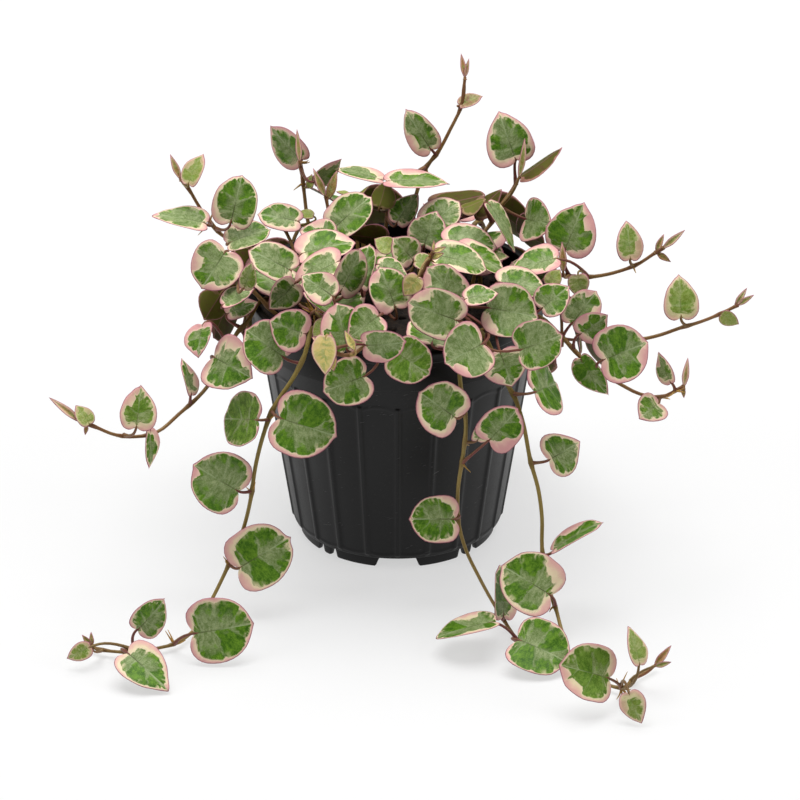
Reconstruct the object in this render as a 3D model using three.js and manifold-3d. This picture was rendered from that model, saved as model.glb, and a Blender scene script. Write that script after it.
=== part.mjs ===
// A trailing string of hearts with variegated, heart-shaped leaves, rooted in a ribbed nursery pot.
// Millimetres, +Z up. The origin is on the pot's axis, on the surface that the pot stands on.

import * as THREE from 'three';
import { mergeVertices } from 'three/addons/utils/BufferGeometryUtils.js';
import Module from 'manifold-3d';

const wasm = await Module();
wasm.setup();

// ---------------------------------------------------------------- driving dimensions

const POT = {
  height: 95,
  lipRadius: 54,
  lipHeight: 4,
  lipEdge: 0.7,
  bandBottom: 79,
  bandRadius: 52.4,
  bandEdge: 0.8,
  bodyTopRadius: 49.4,
  bodyBottomRadius: 37.9,
  bodyBottom: 4.5,
  footRadius: 35.8,
  footWall: 1.6,
  wall: 1.3,
  floorTop: 7,
  segments: 44,
  ribs: 22,
  ribWidth: 1.2,
  ribProud: 0.55,
  ribSunk: 0.5,
  ribEdge: 0.8,
  ribBottom: 6,
  ribTop: 71,
};
const FOOT_NOTCHES = { wide: 26, narrow: 5, narrowAt: 40, top: 3.5 };
const DRAIN = { count: 4, radius: 4.5, ring: 23, segments: 6 };
const CUT = 12; // length of a cut that goes right through a wall or floor

const SOIL = { top: 84, gap: 0.3, crown: 1.2, segments: 20 };

const STEM = { rootRadius: 1.3, tipRadius: 0.85, sides: 3, step: 12, rise: 3, sunk: 14, clearance: 0.35 };
const PETIOLE = { half: 0.55, neck: 0.42, straight: 12, heel: 1.9, sunk: 0.3 };
const BLADE = { thickness: 0.7, cup: 0.34, droop: 0.12 };

// Half outlines of a blade from its sinus round to its tip, in blade lengths along and half breadths across.
const HEART = [[0, 0], [-0.15, 0.5], [0.16, 1], [0.67, 0.9], [1, 0]];
const HEART_RIB = [0.34];
const YOUNG_HEART = [[0, 0], [-0.1, 0.6], [0.38, 1], [1, 0]];
const YOUNG_RIB = [0.3];
const BUD = [[0, 0], [0.36, 1], [1, 0]];
const YOUNG_LENGTH = 14;
const BUD_BREADTH = 0.5;

// The vines are laid out on a front drawing, 800 units square, seen from 27 degrees above by an eye
// 2.5 m away. A place is [across, down, depth]: two drawing units and its y in millimetres.
const DRAWING = { middle: 400, unit: 0.3624, eye: 2500, elevation: 27.3, target: [0.9, 0, 49.55] };
const LIES = 1000; // a depth that means: lying on the surface
const LYING_HEIGHT = 2.4;

// A blade is [across, down, depth] of its base, [across, down] of its tip, its lean towards the eye
// and its turn about its own length in degrees, and its breadth in lengths.
const VINES = [
  {
    name: 'vine_front_left_trail', root: [-26, -28],
    route: [[313, 328, -36], [309, 338, -44], [305, 354, -48.5], [296, 373, -51], [272, 411, -54],
      [263, 436, -55], [254, 475, -57], [252, 491, -58], [242, 533, -62], [229, 564, -66],
      [211, 601, -73], [190, 634, LIES], [174, 644, LIES], [153, 649, LIES], [127, 652, LIES],
      [103, 650, LIES], [92, 647, LIES]],
    blades: [[283, 357, -49, 248, 330, 15, 10, 1.15], [280, 418, -59, 335, 436, 5, 0, 1.1],
      [257, 420, -57, 220, 418, -42, 8, 1.1],
      [238, 491, -61, 196, 466, 20, 0, 1.16], [239, 568, -69, 289, 538, 10, 0, 1.05],
      [195, 633, -100, 252, 624, 6, 20, 1.1], [138, 629, -104, 166, 601, 0, 35, 1.0],
      [128, 653, -114, 168, 685, 26, -25, 0.8], [90, 647, -108, 68, 658, 8, 0, 0.75],
      [92, 646, -107, 82, 635, 0, 0, 0.4], [92, 646, -107, 91, 632, 0, 0, 0.35]],
  },
  {
    name: 'vine_front_middle_trail', root: [10, -26],
    route: [[456, 340, -45], [457, 348, -50], [459, 365, -54], [460, 380, -56], [466, 427, -57],
      [463, 456, -57], [458, 490, -57], [459, 525, -59], [466, 550, -62], [479, 577, -68],
      [495, 606, -77], [507, 625, LIES], [518, 641, LIES]],
    blades: [[456, 418, -62, 422, 394, 28, 0, 1.12], [489, 440, -60, 517, 411, 18, 0, 1.05],
      [477, 440, -57, 491, 414, 10, 55, 1.1], [454, 519, -62, 411, 519, 18, 0, 1.05],
      [492, 622, -90, 436, 631, 5, 58, 0.95], [503, 615, -84, 505, 566, 0, 74, 1.0],
      [519, 640, -106, 567, 659, 18, -12, 1.1]],
  },
  {
    name: 'vine_front_right_trail', root: [22, -30],
    route: [[478, 330, -38], [485, 337, -43], [493, 354, -47.5], [497, 370, -48], [504, 380, -49.5],
      [513, 394, -51], [522, 419, -54], [531, 463, -58], [538, 488, -61], [542, 518, -65],
      [542, 547, -69], [552, 598, -81], [555, 606, -84], [561, 628, -93], [570, 654, LIES],
      [590, 675, LIES], [608, 685, LIES], [621, 688, LIES], [635, 677, LIES], [656, 665, LIES]],
    blades: [[535, 392, -54, 562, 381, -56, 0, 1.1], [549, 460, -60, 577, 443, 32, 0, 1.2],
      [556, 549, -72, 599, 518, 5, -76, 0.95], [550, 595, -84, 504, 565, 8, 0, 1.12],
      [608, 678, -137, 563, 664, 22, 15, 1.12], [639, 664, -140, 632, 627, 0, 55, 0.85],
      [629, 693, -146, 640, 722, 8, 15, 0.85], [655, 665, -126, 671, 646, 0, 0, 0.3],
      [655, 666, -127, 671, 662, 0, 0, 0.35]],
  },
  {
    name: 'vine_left_long', root: [-28, 0],
    route: [[262, 301, -13], [256, 306, -18], [250, 318, -22], [237, 333, -27], [222, 362, -34],
      [207, 387, -40], [179, 414, -50], [157, 432, -56], [148, 435, -58], [116, 435, -62],
      [93, 426, -64], [79, 421, -65]],
    blades: [[214, 357, -42, 250, 377, 28, 0, 1.2], [203, 325, -34, 196, 356, 20, 52, 1.25],
      [191, 394, -46, 186, 358, 0, 70, 1.0], [137, 427, -62, 142, 386, 0, 25, 0.9],
      [150, 430, -62, 153, 468, 0, -66, 0.8], [89, 424, -66, 77, 405, 0, 30, 0.9],
      [87, 425, -65, 85, 435, 0, 0, 0.45], [79, 421, -65, 50, 397, 0, 0, 0.22],
      [228, 314, -24, 257, 300, 0, -55, 0.9]],
  },
  {
    name: 'vine_left_shoot', root: [-30, -12],
    route: [[272, 311, -23], [262, 300, -22], [252, 290, -20], [240, 275, -16], [232, 262, -12]],
    blades: [[225, 252, -14, 203, 287, 20, 0, 1.15], [224, 305, -22, 253, 286, 0, -58, 1.0],
      [220, 295, -12, 203, 320, 10, 160, 1.1], [244, 288, -24, 254, 263, 0, 45, 0.9],
      [295, 283, -24, 271, 310, 0, -40, 0.95], [231, 262, -12, 224, 257, 0, 0, 0.5]],
  },
  {
    name: 'vine_upper_left', root: [-30, 8],
    route: [[262, 256, 9], [250, 248, 10], [230, 239, 11], [222, 235, 12], [210, 222, 14],
      [200, 208, 16], [188, 188, 18], [180, 178, 19]],
    blades: [[205, 224, 11, 154, 211, 0, 61, 0.95], [189, 184, 16, 201, 153, 0, -58, 0.9],
      [231, 222, 6, 242, 176, 5, 0, 0.93], [230, 243, 4, 269, 226, 0, -50, 1.0],
      [180, 178, 19, 170, 154, 0, 0, 0.28]],
  },
  {
    name: 'vine_top_left', root: [-26, 26],
    route: [[308, 222, 36], [306, 209, 38], [305, 200, 39], [302, 175, 41], [300, 162, 42]],
    blades: [[302, 160, 45, 268, 128, 2, -40, 0.9], [300, 162, 40, 297, 129, 0, 0, 0.2],
      [309, 188, 40, 312, 174, 0, 0, 0.6], [315, 182, 40, 344, 162, 0, 72, 0.9]],
  },
  {
    name: 'vine_back_left_shoot', root: [-18, 16],
    route: [[333, 238, 22], [329, 215, 25], [326, 197, 28]],
    blades: [[325, 196, 28, 313, 168, 0, 0, 0.26], [328, 199, 28, 337, 170, 0, 0, 0.32],
      [335, 228, 18, 369, 195, 5, -45, 0.95], [333, 239, 14, 300, 229, 0, 45, 1.1]],
  },
  {
    name: 'vine_top', root: [8, 26],
    route: [[415, 200, 42], [420, 182, 47], [426, 167, 50], [436, 155, 51], [451, 128, 54],
      [461, 107, 56], [465, 77, 58]],
    blades: [[431, 149, 50, 404, 110, 5, -20, 0.72], [460, 105, 56, 482, 94, 0, -48, 0.9],
      [465, 77, 58, 461, 53, 0, 0, 0.25], [465, 77, 58, 469, 58, 0, 0, 0.25],
      [388, 182, 40, 450, 178, 0, -81, 0.85]],
  },
  {
    name: 'vine_upper_right', root: [30, 20],
    route: [[480, 238, 18], [492, 222, 23], [500, 207, 27], [512, 190, 31], [516, 184, 32]],
    blades: [[516, 160, 32, 498, 112, 5, -10, 0.95], [519, 177, 27, 526, 138, 0, 0, 0.18],
      [522, 177, 30, 565, 152, 0, 107, 0.9], [526, 219, 22, 549, 225, 55, 0, 1.1],
      [489, 205, 16, 520, 249, 0, -68, 0.75]],
  },
  {
    name: 'vine_right_upper_arm', root: [34, 2],
    route: [[540, 272, 1], [560, 275, -1], [588, 277, -4], [620, 271, -6], [640, 263, -7],
      [652, 255, -8], [663, 248, -8]],
    blades: [[630, 259, -8, 628, 221, 0, 25, 0.8], [565, 250, -2, 584, 203, 5, 0, 1.0],
      [563, 272, -6, 562, 242, 0, 0, 0.28], [578, 275, -10, 580, 298, 0, 10, 0.95],
      [556, 259, -6, 507, 269, 0, 66, 0.95], [656, 251, -8, 664, 234, 0, 0, 0.35],
      [657, 253, -8, 671, 262, 0, 0, 0.4], [663, 248, -8, 685, 230, 0, 0, 0.25]],
  },
  {
    name: 'vine_right_arm', root: [36, -6],
    route: [[548, 293, -10], [570, 305, -15], [590, 320, -20], [612, 332, -25], [640, 339, -30],
      [660, 335, -31], [680, 328, -32], [700, 322, -33], [720, 314, -34], [738, 305, -34]],
    blades: [[681, 317, -34, 680, 275, 0, 12, 0.85], [722, 314, -37, 738, 325, 0, 30, 0.9],
      [737, 305, -34, 754, 295, 0, 0, 0.3], [735, 306, -34, 747, 288, 0, 0, 0.3]],
  },
  {
    name: 'vine_right_lower', root: [30, -18],
    route: [[527, 314, -26], [540, 317, -30], [562, 337, -36], [585, 361, -42], [600, 372, -45],
      [620, 384, -48], [640, 394, -50], [660, 397, -52], [683, 387, -54]],
    blades: [[603, 360, -52, 646, 343, 10, 0, 1.2], [581, 359, -44, 605, 397, 0, 50, 0.85],
      [580, 334, -42, 607, 317, 18, 20, 1.0], [572, 323, -36, 597, 292, 0, 25, 0.9],
      [659, 403, -54, 640, 417, 32, 10, 1.2], [671, 382, -54, 656, 354, 0, -56, 0.85],
      [684, 386, -54, 688, 358, 0, 0, 0.25], [683, 388, -54, 684, 398, 0, 0, 0.45]],
  },
  {
    name: 'vine_front_shoot', root: [-2, -37],
    route: [[384, 335, -47], [375, 338, -54], [362, 348, -59], [350, 355, -62], [338, 354, -63],
      [331, 350, -63]],
    blades: [[334, 353, -63, 312, 337, 0, 0, 0.4], [333, 350, -63, 330, 332, 0, 0, 0.35],
      [355, 350, -61, 345, 331, 0, 0, 0.4], [326, 337, -65, 323, 374, 0, 35, 0.8],
      [331, 355, -65, 333, 371, 0, 20, 0.7], [366, 345, -56, 405, 345, 8, 38, 1.0]],
  },
  {
    name: 'vine_middle_shoot', root: [8, -16],
    route: [[415, 292, -24], [419, 280, -26], [427, 265, -26], [433, 252, -26]],
    blades: [[433, 252, -26, 446, 247, 0, 0, 0.4], [433, 252, -26, 434, 240, 0, 0, 0.3],
      [430, 258, -26, 444, 253, 0, 0, 0.45], [418, 277, -30, 404, 296, 0, 0, 0.9],
      [458, 302, -28, 427, 268, 0, 0, 0.9], [438, 256, -9, 487, 265, 0, -66, 1.0]],
  },
  {
    name: 'crown_left_back', root: [-34, 18],
    route: [[290, 240, 22], [284, 228, 26]],
    blades: [[298, 222, 30, 258, 212, 0, 35, 0.8], [313, 216, 32, 296, 212, 0, 50, 0.9]],
  },
  {
    name: 'crown_left_front', root: [-20, -22],
    route: [[322, 322, -26], [314, 312, -28]],
    blades: [[306, 334, -48, 270, 322, 8, 0, 1.2], [291, 271, -12, 251, 249, 8, 15, 0.9],
      [331, 313, -34, 306, 290, 0, 50, 1.1],
      [333, 297, -32, 303, 275, 0, 20, 0.95], [327, 322, -44, 312, 336, 0, 40, 1.0]],
  },
  {
    name: 'crown_front', root: [-8, -30],
    route: [[360, 338, -42], [356, 328, -46]],
    blades: [[347, 349, -50, 337, 304, 0, 0, 0.95], [379, 316, -50, 349, 337, 10, 0, 1.1],
      [396, 352, -58, 428, 374, 12, 0, 1.15],
      [365, 376, -60, 325, 391, 10, 0, 1.1]],
  },
  {
    name: 'crown_centre', root: [-8, 2],
    route: [[372, 296, -2], [366, 280, -4]],
    blades: [[341, 291, -22, 363, 251, 0, 30, 0.9], [361, 287, -14, 366, 244, 0, -52, 1.0],
      [339, 262, -8, 293, 283, 0, 64, 1.0], [302, 254, 0, 354, 238, 0, -68, 1.0],
      [413, 260, -6, 394, 238, 20, 20, 1.1], [391, 250, 4, 375, 238, 0, 30, 1.1],
      [395, 307, -34, 381, 267, 0, 0, 0.98], [378, 265, -14, 410, 276, 0, -68, 1.0],
      [415, 262, -8, 440, 263, 0, -55, 0.9]],
  },
  {
    name: 'crown_back_left', root: [-14, 30],
    route: [[356, 228, 34], [354, 214, 36]],
    blades: [[352, 198, 44, 371, 188, 0, 110, 1.0], [350, 197, 42, 337, 190, 0, 70, 1.0],
      [380, 180, 52, 336, 165, 0, 68, 0.8],
      [386, 240, 24, 350, 231, 0, 130, 0.95]],
  },
  {
    name: 'crown_back', root: [-2, 36],
    route: [[386, 226, 40], [388, 208, 44]],
    blades: [[380, 207, 44, 388, 182, 0, 140, 1.1],
      [397, 223, 34, 416, 192, 0, -35, 0.95]],
  },
  {
    name: 'crown_back_right', root: [16, 34],
    route: [[434, 236, 34], [432, 222, 35]],
    blades: [[424, 246, 18, 436, 211, 5, 0, 1.15], [428, 228, 30, 458, 200, 0, -15, 1.0],
      [434, 205, 38, 486, 200, 0, 128, 0.9], [462, 210, 34, 487, 202, 0, 122, 1.0],
      [474, 214, 34, 504, 192, 0, 140, 0.95]],
  },
  {
    name: 'crown_right', root: [26, 9],
    route: [[476, 268, 10], [478, 254, 11]],
    blades: [[446, 242, 14, 497, 243, 0, -66, 1.0],
      [460, 251, 6, 506, 268, 0, -74, 1.0], [482, 258, 4, 509, 254, 0, -58, 0.9]],
  },
  {
    name: 'crown_middle_right', root: [14, -8],
    route: [[446, 318, -20], [450, 306, -24]],
    blades: [[458, 321, -44, 408, 303, 0, 12, 0.9], [482, 344, -54, 448, 362, 32, 0, 1.2],
      [465, 300, -34, 497, 291, 0, -50, 1.0], [488, 308, -38, 537, 316, 5, 0, 1.1]],
  },
  {
    name: 'crown_right_front', root: [22, -20],
    route: [[492, 326, -30], [500, 314, -33]],
    blades: [[499, 283, -16, 545, 286, 0, -60, 0.95], [545, 272, -10, 502, 284, 0, 60, 0.95],
      [520, 350, -50, 560, 336, 10, 0, 1.1], [500, 352, -50, 512, 386, 0, -15, 1.3],
      [541, 309, -30, 568, 286, 0, -15, 1.0], [548, 285, -24, 560, 270, 0, 0, 0.9]],
  },
];

// Back vines, laid by rule: bearing of the root in degrees, length of the hanging part and of the part
// that lies on the surface, in millimetres. They cross the rim through [radius, height over the rim].
const BACK = {
  seed: 11,
  rootRadius: 43,
  vines: [[22, 46, 0], [58, 64, 0], [80, 92, 68], [106, 88, 62], [128, 52, 0], [148, 52, 0]],
  overRim: [[49, 1], [55, 4], [61, -3]],
  hang: { radius: 63, flare: 0.05, step: 18 },
  land: { from: [69, 9], radius: 76, step: 17, swing: 0.35, wave: 3, waveLength: 11 },
  leafStep: 24,
  pairs: 0.25,
  leafAway: 3.2,
  leafOff: 1.8,
};
const RULED_LEAF = { length: [18, 22], breadth: 1.05 };

// Leaves over the back of the rim, on the back vines.
const BACK_CROWN = { leaves: 3, ring: [30, 54], height: 5, swing: 1.1 };

// Low blades that fill the crown under the drawn ones, on the stems nearest to them.
const FILL = { seed: 5, tries: 900, blades: 32, reach: [8, 47], height: [92, 104], stems: 14, lift: 0.6 };

// Clearance kept between blades, stems and pot, and the steps by which a blade moves to find it.
const ROOM = { blade: 0.4, stem: 1.0, gap: 0.66, own: 0.15, base: 3.2, floor: 0.5 };
const SHIFTS = [0, 1.2, 2.4, -1.2, 3.6, 4.8, -2.4, 6, 7.2, 8.4, 9.6, 10.8, 12];
const TURNS = [0, 14, -14];
const STARTS = [0, -2, 2, -4, 4, -7, 7];
const BENDS = { sizes: [3.5, 7, 11], ways: 8 };

// ---------------------------------------------------------------- places and directions

const UP = new THREE.Vector3(0, 0, 1);
const RIGHT = new THREE.Vector3(1, 0, 0);
const tilt = THREE.MathUtils.degToRad(DRAWING.elevation);
const TOWARDS = new THREE.Vector3(0, -Math.cos(tilt), Math.sin(tilt));
const PAGE_UP = new THREE.Vector3(0, Math.sin(tilt), Math.cos(tilt));
const TARGET = new THREE.Vector3(...DRAWING.target);
const EYE = TARGET.clone().addScaledVector(TOWARDS, DRAWING.eye);

// The point of a sight line that has the given depth, or that lies on the surface.
function spot(across, down, depth) {
  const sight = TARGET.clone()
    .addScaledVector(RIGHT, (across - DRAWING.middle) * DRAWING.unit)
    .addScaledVector(PAGE_UP, (DRAWING.middle - down) * DRAWING.unit)
    .sub(EYE);
  const reach = depth === LIES ? (LYING_HEIGHT - EYE.z) / sight.z : (depth - EYE.y) / sight.y;
  return EYE.clone().addScaledVector(sight, reach);
}

function draws(seed) {
  let state = seed;
  return () => {
    state = (state * 1664525 + 1013904223) % 4294967296;
    return state / 4294967296;
  };
}

const mix = (a, b, t) => a + (b - a) * t;

// A smooth curve through the points, sampled about every step millimetres.
function smooth(points, step) {
  const gaps = points.slice(1).map((p, i) => p.distanceTo(points[i]));
  const pace = gaps.map((gap, i) => points[i + 1].clone().sub(points[i]).divideScalar(gap));
  const slopes = points.map((_, i) => {
    if (i === 0) return pace[0].clone();
    if (i === gaps.length) return pace[i - 1].clone();
    return pace[i - 1].clone().multiplyScalar(gaps[i]).addScaledVector(pace[i], gaps[i - 1])
      .divideScalar(gaps[i - 1] + gaps[i]);
  });
  const samples = [points[0].clone()];
  gaps.forEach((gap, i) => {
    const count = Math.max(1, Math.round(gap / step));
    for (let k = 1; k <= count; k += 1) {
      const t = k / count;
      samples.push(points[i].clone().multiplyScalar((1 + 2 * t) * (1 - t) ** 2)
        .addScaledVector(slopes[i], gap * t * (1 - t) ** 2)
        .addScaledVector(points[i + 1], t * t * (3 - 2 * t))
        .addScaledVector(slopes[i + 1], gap * t * t * (t - 1)));
    }
  });
  return samples;
}

// Points on the straight stretches of a path, about every step millimetres.
function alongPath(path, step) {
  return path.slice(1).flatMap((point, i) => {
    const count = Math.max(1, Math.round(point.distanceTo(path[i]) / step));
    return Array.from({ length: count }, (_, k) => path[i].clone().lerp(point, (k + 1) / count));
  });
}

// ---------------------------------------------------------------- the blade

// A blade's place: its base, its three directions, its length and half breadth.
function bladeFrame(base, along, face, length, breadth) {
  const normal = face.clone().addScaledVector(along, -face.dot(along)).normalize();
  return { base, along, normal, across: normal.clone().cross(along), length, half: breadth / 2 };
}

// A direction swung by the angle from one towards the other, both of length 1 and at right angles.
function swung(from, to, angle) {
  return from.clone().multiplyScalar(Math.cos(angle)).addScaledVector(to, Math.sin(angle));
}

function drawnFrame([across, down, depth, tipAcross, tipDown, lean, turn, breadth], moved, turned) {
  const base = spot(across, down, depth);
  const run = new THREE.Vector2(tipAcross - across, down - tipDown);
  const leanAngle = THREE.MathUtils.degToRad(lean);
  const turnAngle = THREE.MathUtils.degToRad(turn + turned);
  const length = run.length() * DRAWING.unit / Math.cos(leanAngle);
  run.normalize();
  const flat = RIGHT.clone().multiplyScalar(run.x).addScaledVector(PAGE_UP, run.y);
  const along = swung(flat, TOWARDS, leanAngle);
  const open = swung(TOWARDS, flat, -leanAngle);
  const face = swung(open, along.clone().cross(open), turnAngle);
  return bladeFrame(base.addScaledVector(TOWARDS, moved), along, face, length, length * breadth);
}

// How far the blade's middle surface stands off its plane: raised at the sides, drooping to the tip.
function relief(frame, a, b) {
  return frame.length * (BLADE.cup * (b / frame.length) ** 2 - BLADE.droop * a * Math.abs(a));
}

// A point of the blade: a in lengths along, b in half breadths across, off the middle surface by lift.
function bladePoint(frame, a, b, lift = 0) {
  return frame.base.clone()
    .addScaledVector(frame.along, a * frame.length)
    .addScaledVector(frame.across, b * frame.half)
    .addScaledVector(frame.normal, relief(frame, a, b * frame.half) + lift);
}

const isBud = (frame) => frame.half * 2 < frame.length * BUD_BREADTH;

function bladePattern(frame) {
  if (isBud(frame)) return { outline: BUD, rib: [] };
  if (frame.length < YOUNG_LENGTH) return { outline: YOUNG_HEART, rib: YOUNG_RIB };
  return { outline: HEART, rib: HEART_RIB };
}

// Triangles between the midrib and one side of the outline, as rows of indices that face up.
function halfFaces(midrib, side) {
  const faces = [];
  let i = 0;
  let j = 0;
  while (j < side.length - 1) {
    if (i === midrib.length - 1 || side[j + 1].a <= midrib[i + 1].a) {
      if (side[j + 1] !== midrib[i]) faces.push([midrib[i].id, side[j + 1].id, side[j].id]);
      j += 1;
    } else {
      faces.push([midrib[i].id, midrib[i + 1].id, side[j].id]);
      i += 1;
    }
  }
  return faces;
}

// One leaf: the blade, and its petiole drawn out of the blade's sinus along the path to its root in the stem.
function leafSolid(frame, { path, root }) {
  const { outline, rib } = bladePattern(frame);
  const neck = PETIOLE.neck / frame.half;
  const right = [{ a: 0, b: neck }, ...outline.slice(1, -1).map(([a, b]) => ({ a, b }))];
  const left = right.map(({ a, b }) => ({ a, b: -b }));
  const tip = { a: 1, b: 0 };
  const midrib = [...rib.map((a) => ({ a, b: 0 })), tip];
  const points = [...right, ...left, ...midrib];
  points.forEach((point, id) => { point.id = id; });
  const faces = [[left[0].id, midrib[0].id, right[0].id], ...halfFaces(midrib, [...right, tip])];
  for (const [p, q, r] of halfFaces(midrib, [...left, tip])) faces.push([p, r, q]);
  const half = BLADE.thickness / 2;
  const corners = [half, -half].flatMap((lift) => points.map(({ a, b }) => bladePoint(frame, a, b, lift)));
  const under = points.length;
  const triangles = faces.flatMap(([p, q, r]) => [[p, q, r], [p + under, r + under, q + under]]);
  const rim = [...left, tip, ...right.toReversed()].map(({ id }) => id);
  for (let i = 0; i < rim.length - 1; i += 1) {
    const [p, q] = [rim[i], rim[i + 1]];
    triangles.push([q, p, p + under], [q, p + under, q + under]);
  }
  let ring = [left[0].id, right[0].id, right[0].id + under, left[0].id + under];
  let side = frame.across;
  path.forEach((point, i) => {
    const ahead = point.clone().sub(i > 0 ? path[i - 1] : frame.base).normalize();
    side = side.clone().addScaledVector(ahead, -side.dot(ahead)).normalize();
    const other = side.clone().cross(ahead);
    const next = [[-1, 1], [1, 1], [1, -1], [-1, -1]].map(([x, y]) => corners.push(point.clone()
      .addScaledVector(side, x * PETIOLE.half).addScaledVector(other, y * PETIOLE.half)) - 1);
    next.forEach((corner, k) => {
      const m = (k + 1) % next.length;
      triangles.push([ring[k], ring[m], next[m]], [ring[k], next[m], corner]);
    });
    ring = next;
  });
  const apex = corners.push(root) - 1;
  ring.forEach((corner, k) => triangles.push([corner, ring[(k + 1) % ring.length], apex]));
  return solidOf(corners, triangles);
}

// ---------------------------------------------------------------- rods and solids

function solidOf(corners, triangles) {
  return new wasm.Manifold(new wasm.Mesh({
    numProp: 3,
    vertProperties: new Float32Array(corners.flatMap((p) => p.toArray())),
    triVerts: new Uint32Array(triangles.flat()),
  }));
}

// A round rod with few sides along the path, its radius running evenly from one end to the other.
function rodSolid(path, startRadius, endRadius, sides) {
  const corners = [];
  let side = new THREE.Vector3(0.31, 0.87, 0.38);
  path.forEach((point, i) => {
    const ahead = path[Math.min(i + 1, path.length - 1)].clone().sub(path[Math.max(i - 1, 0)]).normalize();
    side = side.clone().addScaledVector(ahead, -side.dot(ahead)).normalize();
    const other = ahead.clone().cross(side);
    const radius = mix(startRadius, endRadius, i / (path.length - 1));
    for (let k = 0; k < sides; k += 1) {
      const angle = (2 * Math.PI * k) / sides;
      corners.push(point.clone().addScaledVector(side, radius * Math.cos(angle))
        .addScaledVector(other, radius * Math.sin(angle)));
    }
  });
  const triangles = [];
  for (let i = 0; i < path.length - 1; i += 1) {
    for (let k = 0; k < sides; k += 1) {
      const a = i * sides + k;
      const b = i * sides + (k + 1) % sides;
      triangles.push([a, b, b + sides], [a, b + sides, a + sides]);
    }
  }
  const last = (path.length - 1) * sides;
  for (let k = 1; k < sides - 1; k += 1) {
    triangles.push([0, k + 1, k], [last, last + k, last + k + 1]);
  }
  return solidOf(corners, triangles);
}

function geometrySolid(geometry) {
  geometry.deleteAttribute('normal');
  geometry.deleteAttribute('uv');
  const merged = mergeVertices(geometry, 1e-4);
  return new wasm.Manifold(new wasm.Mesh({
    numProp: 3,
    vertProperties: new Float32Array(merged.attributes.position.array),
    triVerts: new Uint32Array(merged.index.array),
  }));
}

// Fuses the pieces and keeps the one body that holds together, without scraps or sealed hollows.
function fuse(pieces) {
  const bodies = wasm.Manifold.union(pieces).decompose();
  return bodies.reduce((best, body) => (body.volume() > best.volume() ? body : best));
}

function meshOf(name, solid, material) {
  const { vertProperties, triVerts } = solid.getMesh();
  const geometry = new THREE.BufferGeometry();
  geometry.setAttribute('position', new THREE.BufferAttribute(new Float32Array(vertProperties), 3));
  geometry.setIndex(new THREE.BufferAttribute(new Uint32Array(triVerts), 1));
  const mesh = new THREE.Mesh(geometry, material);
  mesh.name = name;
  return mesh;
}

// ---------------------------------------------------------------- the pot and its soil

// The pot's outer radius at a height, without its ribs.
function outerRadius(z) {
  if (z > POT.height - POT.lipHeight) return POT.lipRadius;
  if (z > POT.bandBottom) return POT.bandRadius;
  const t = (z - POT.bodyBottom) / (POT.bandBottom - POT.bodyBottom);
  return mix(POT.bodyBottomRadius, POT.bodyTopRadius, t);
}

function wallSolid() {
  const { height, lipRadius, lipHeight, lipEdge, wall } = POT;
  const { bandBottom, bandRadius, bandEdge, bodyTopRadius } = POT;
  const profile = [
    [0, POT.bodyBottom],
    [POT.footRadius - POT.footWall, POT.bodyBottom],
    [POT.footRadius - POT.footWall, 0],
    [POT.footRadius, 0],
    [POT.footRadius, POT.bodyBottom],
    [POT.bodyBottomRadius, POT.bodyBottom],
    [bodyTopRadius, bandBottom],
    [bandRadius, bandBottom + bandEdge],
    [bandRadius, height - lipHeight],
    [lipRadius, height - lipHeight + lipEdge],
    [lipRadius, height - lipEdge],
    [lipRadius - lipEdge, height],
    [bandRadius - wall, height],
    [bodyTopRadius - wall, bandBottom - 1],
    [outerRadius(POT.floorTop) - wall, POT.floorTop],
    [0, POT.floorTop],
  ].map(([r, z]) => new THREE.Vector2(r, z));
  const lathe = new THREE.LatheGeometry(profile, POT.segments);
  lathe.rotateX(Math.PI / 2);
  return geometrySolid(lathe);
}

// A box from z = low to z = high, centred on a ring at the bearing.
function blockSolid(radius, depth, width, low, high, bearing) {
  const box = new THREE.BoxGeometry(depth, width, high - low);
  box.translate(radius, 0, (low + high) / 2);
  box.rotateZ(THREE.MathUtils.degToRad(bearing));
  return geometrySolid(box);
}

// A rib follows the slope of the wall and ends in a chamfer at its top and bottom.
function ribSolid(bearing) {
  const { ribWidth: width, ribProud: proud, ribSunk: sunk, ribEdge: edge } = POT;
  const { ribBottom: low, ribTop: high } = POT;
  const section = [[low, -sunk], [high, -sunk], [high - edge, proud], [low + edge, proud]];
  const turn = THREE.MathUtils.degToRad(bearing);
  const corners = [-width / 2, width / 2].flatMap((across) => section.map(([z, off]) => (
    new THREE.Vector3(outerRadius(z) + off, across, z).applyAxisAngle(UP, turn))));
  const quads = [[0, 1, 2, 3], [7, 6, 5, 4], [4, 5, 1, 0], [5, 6, 2, 1], [6, 7, 3, 2], [7, 4, 0, 3]];
  return solidOf(corners, quads.flatMap(([a, b, c, d]) => [[a, b, c], [a, c, d]]));
}

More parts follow.
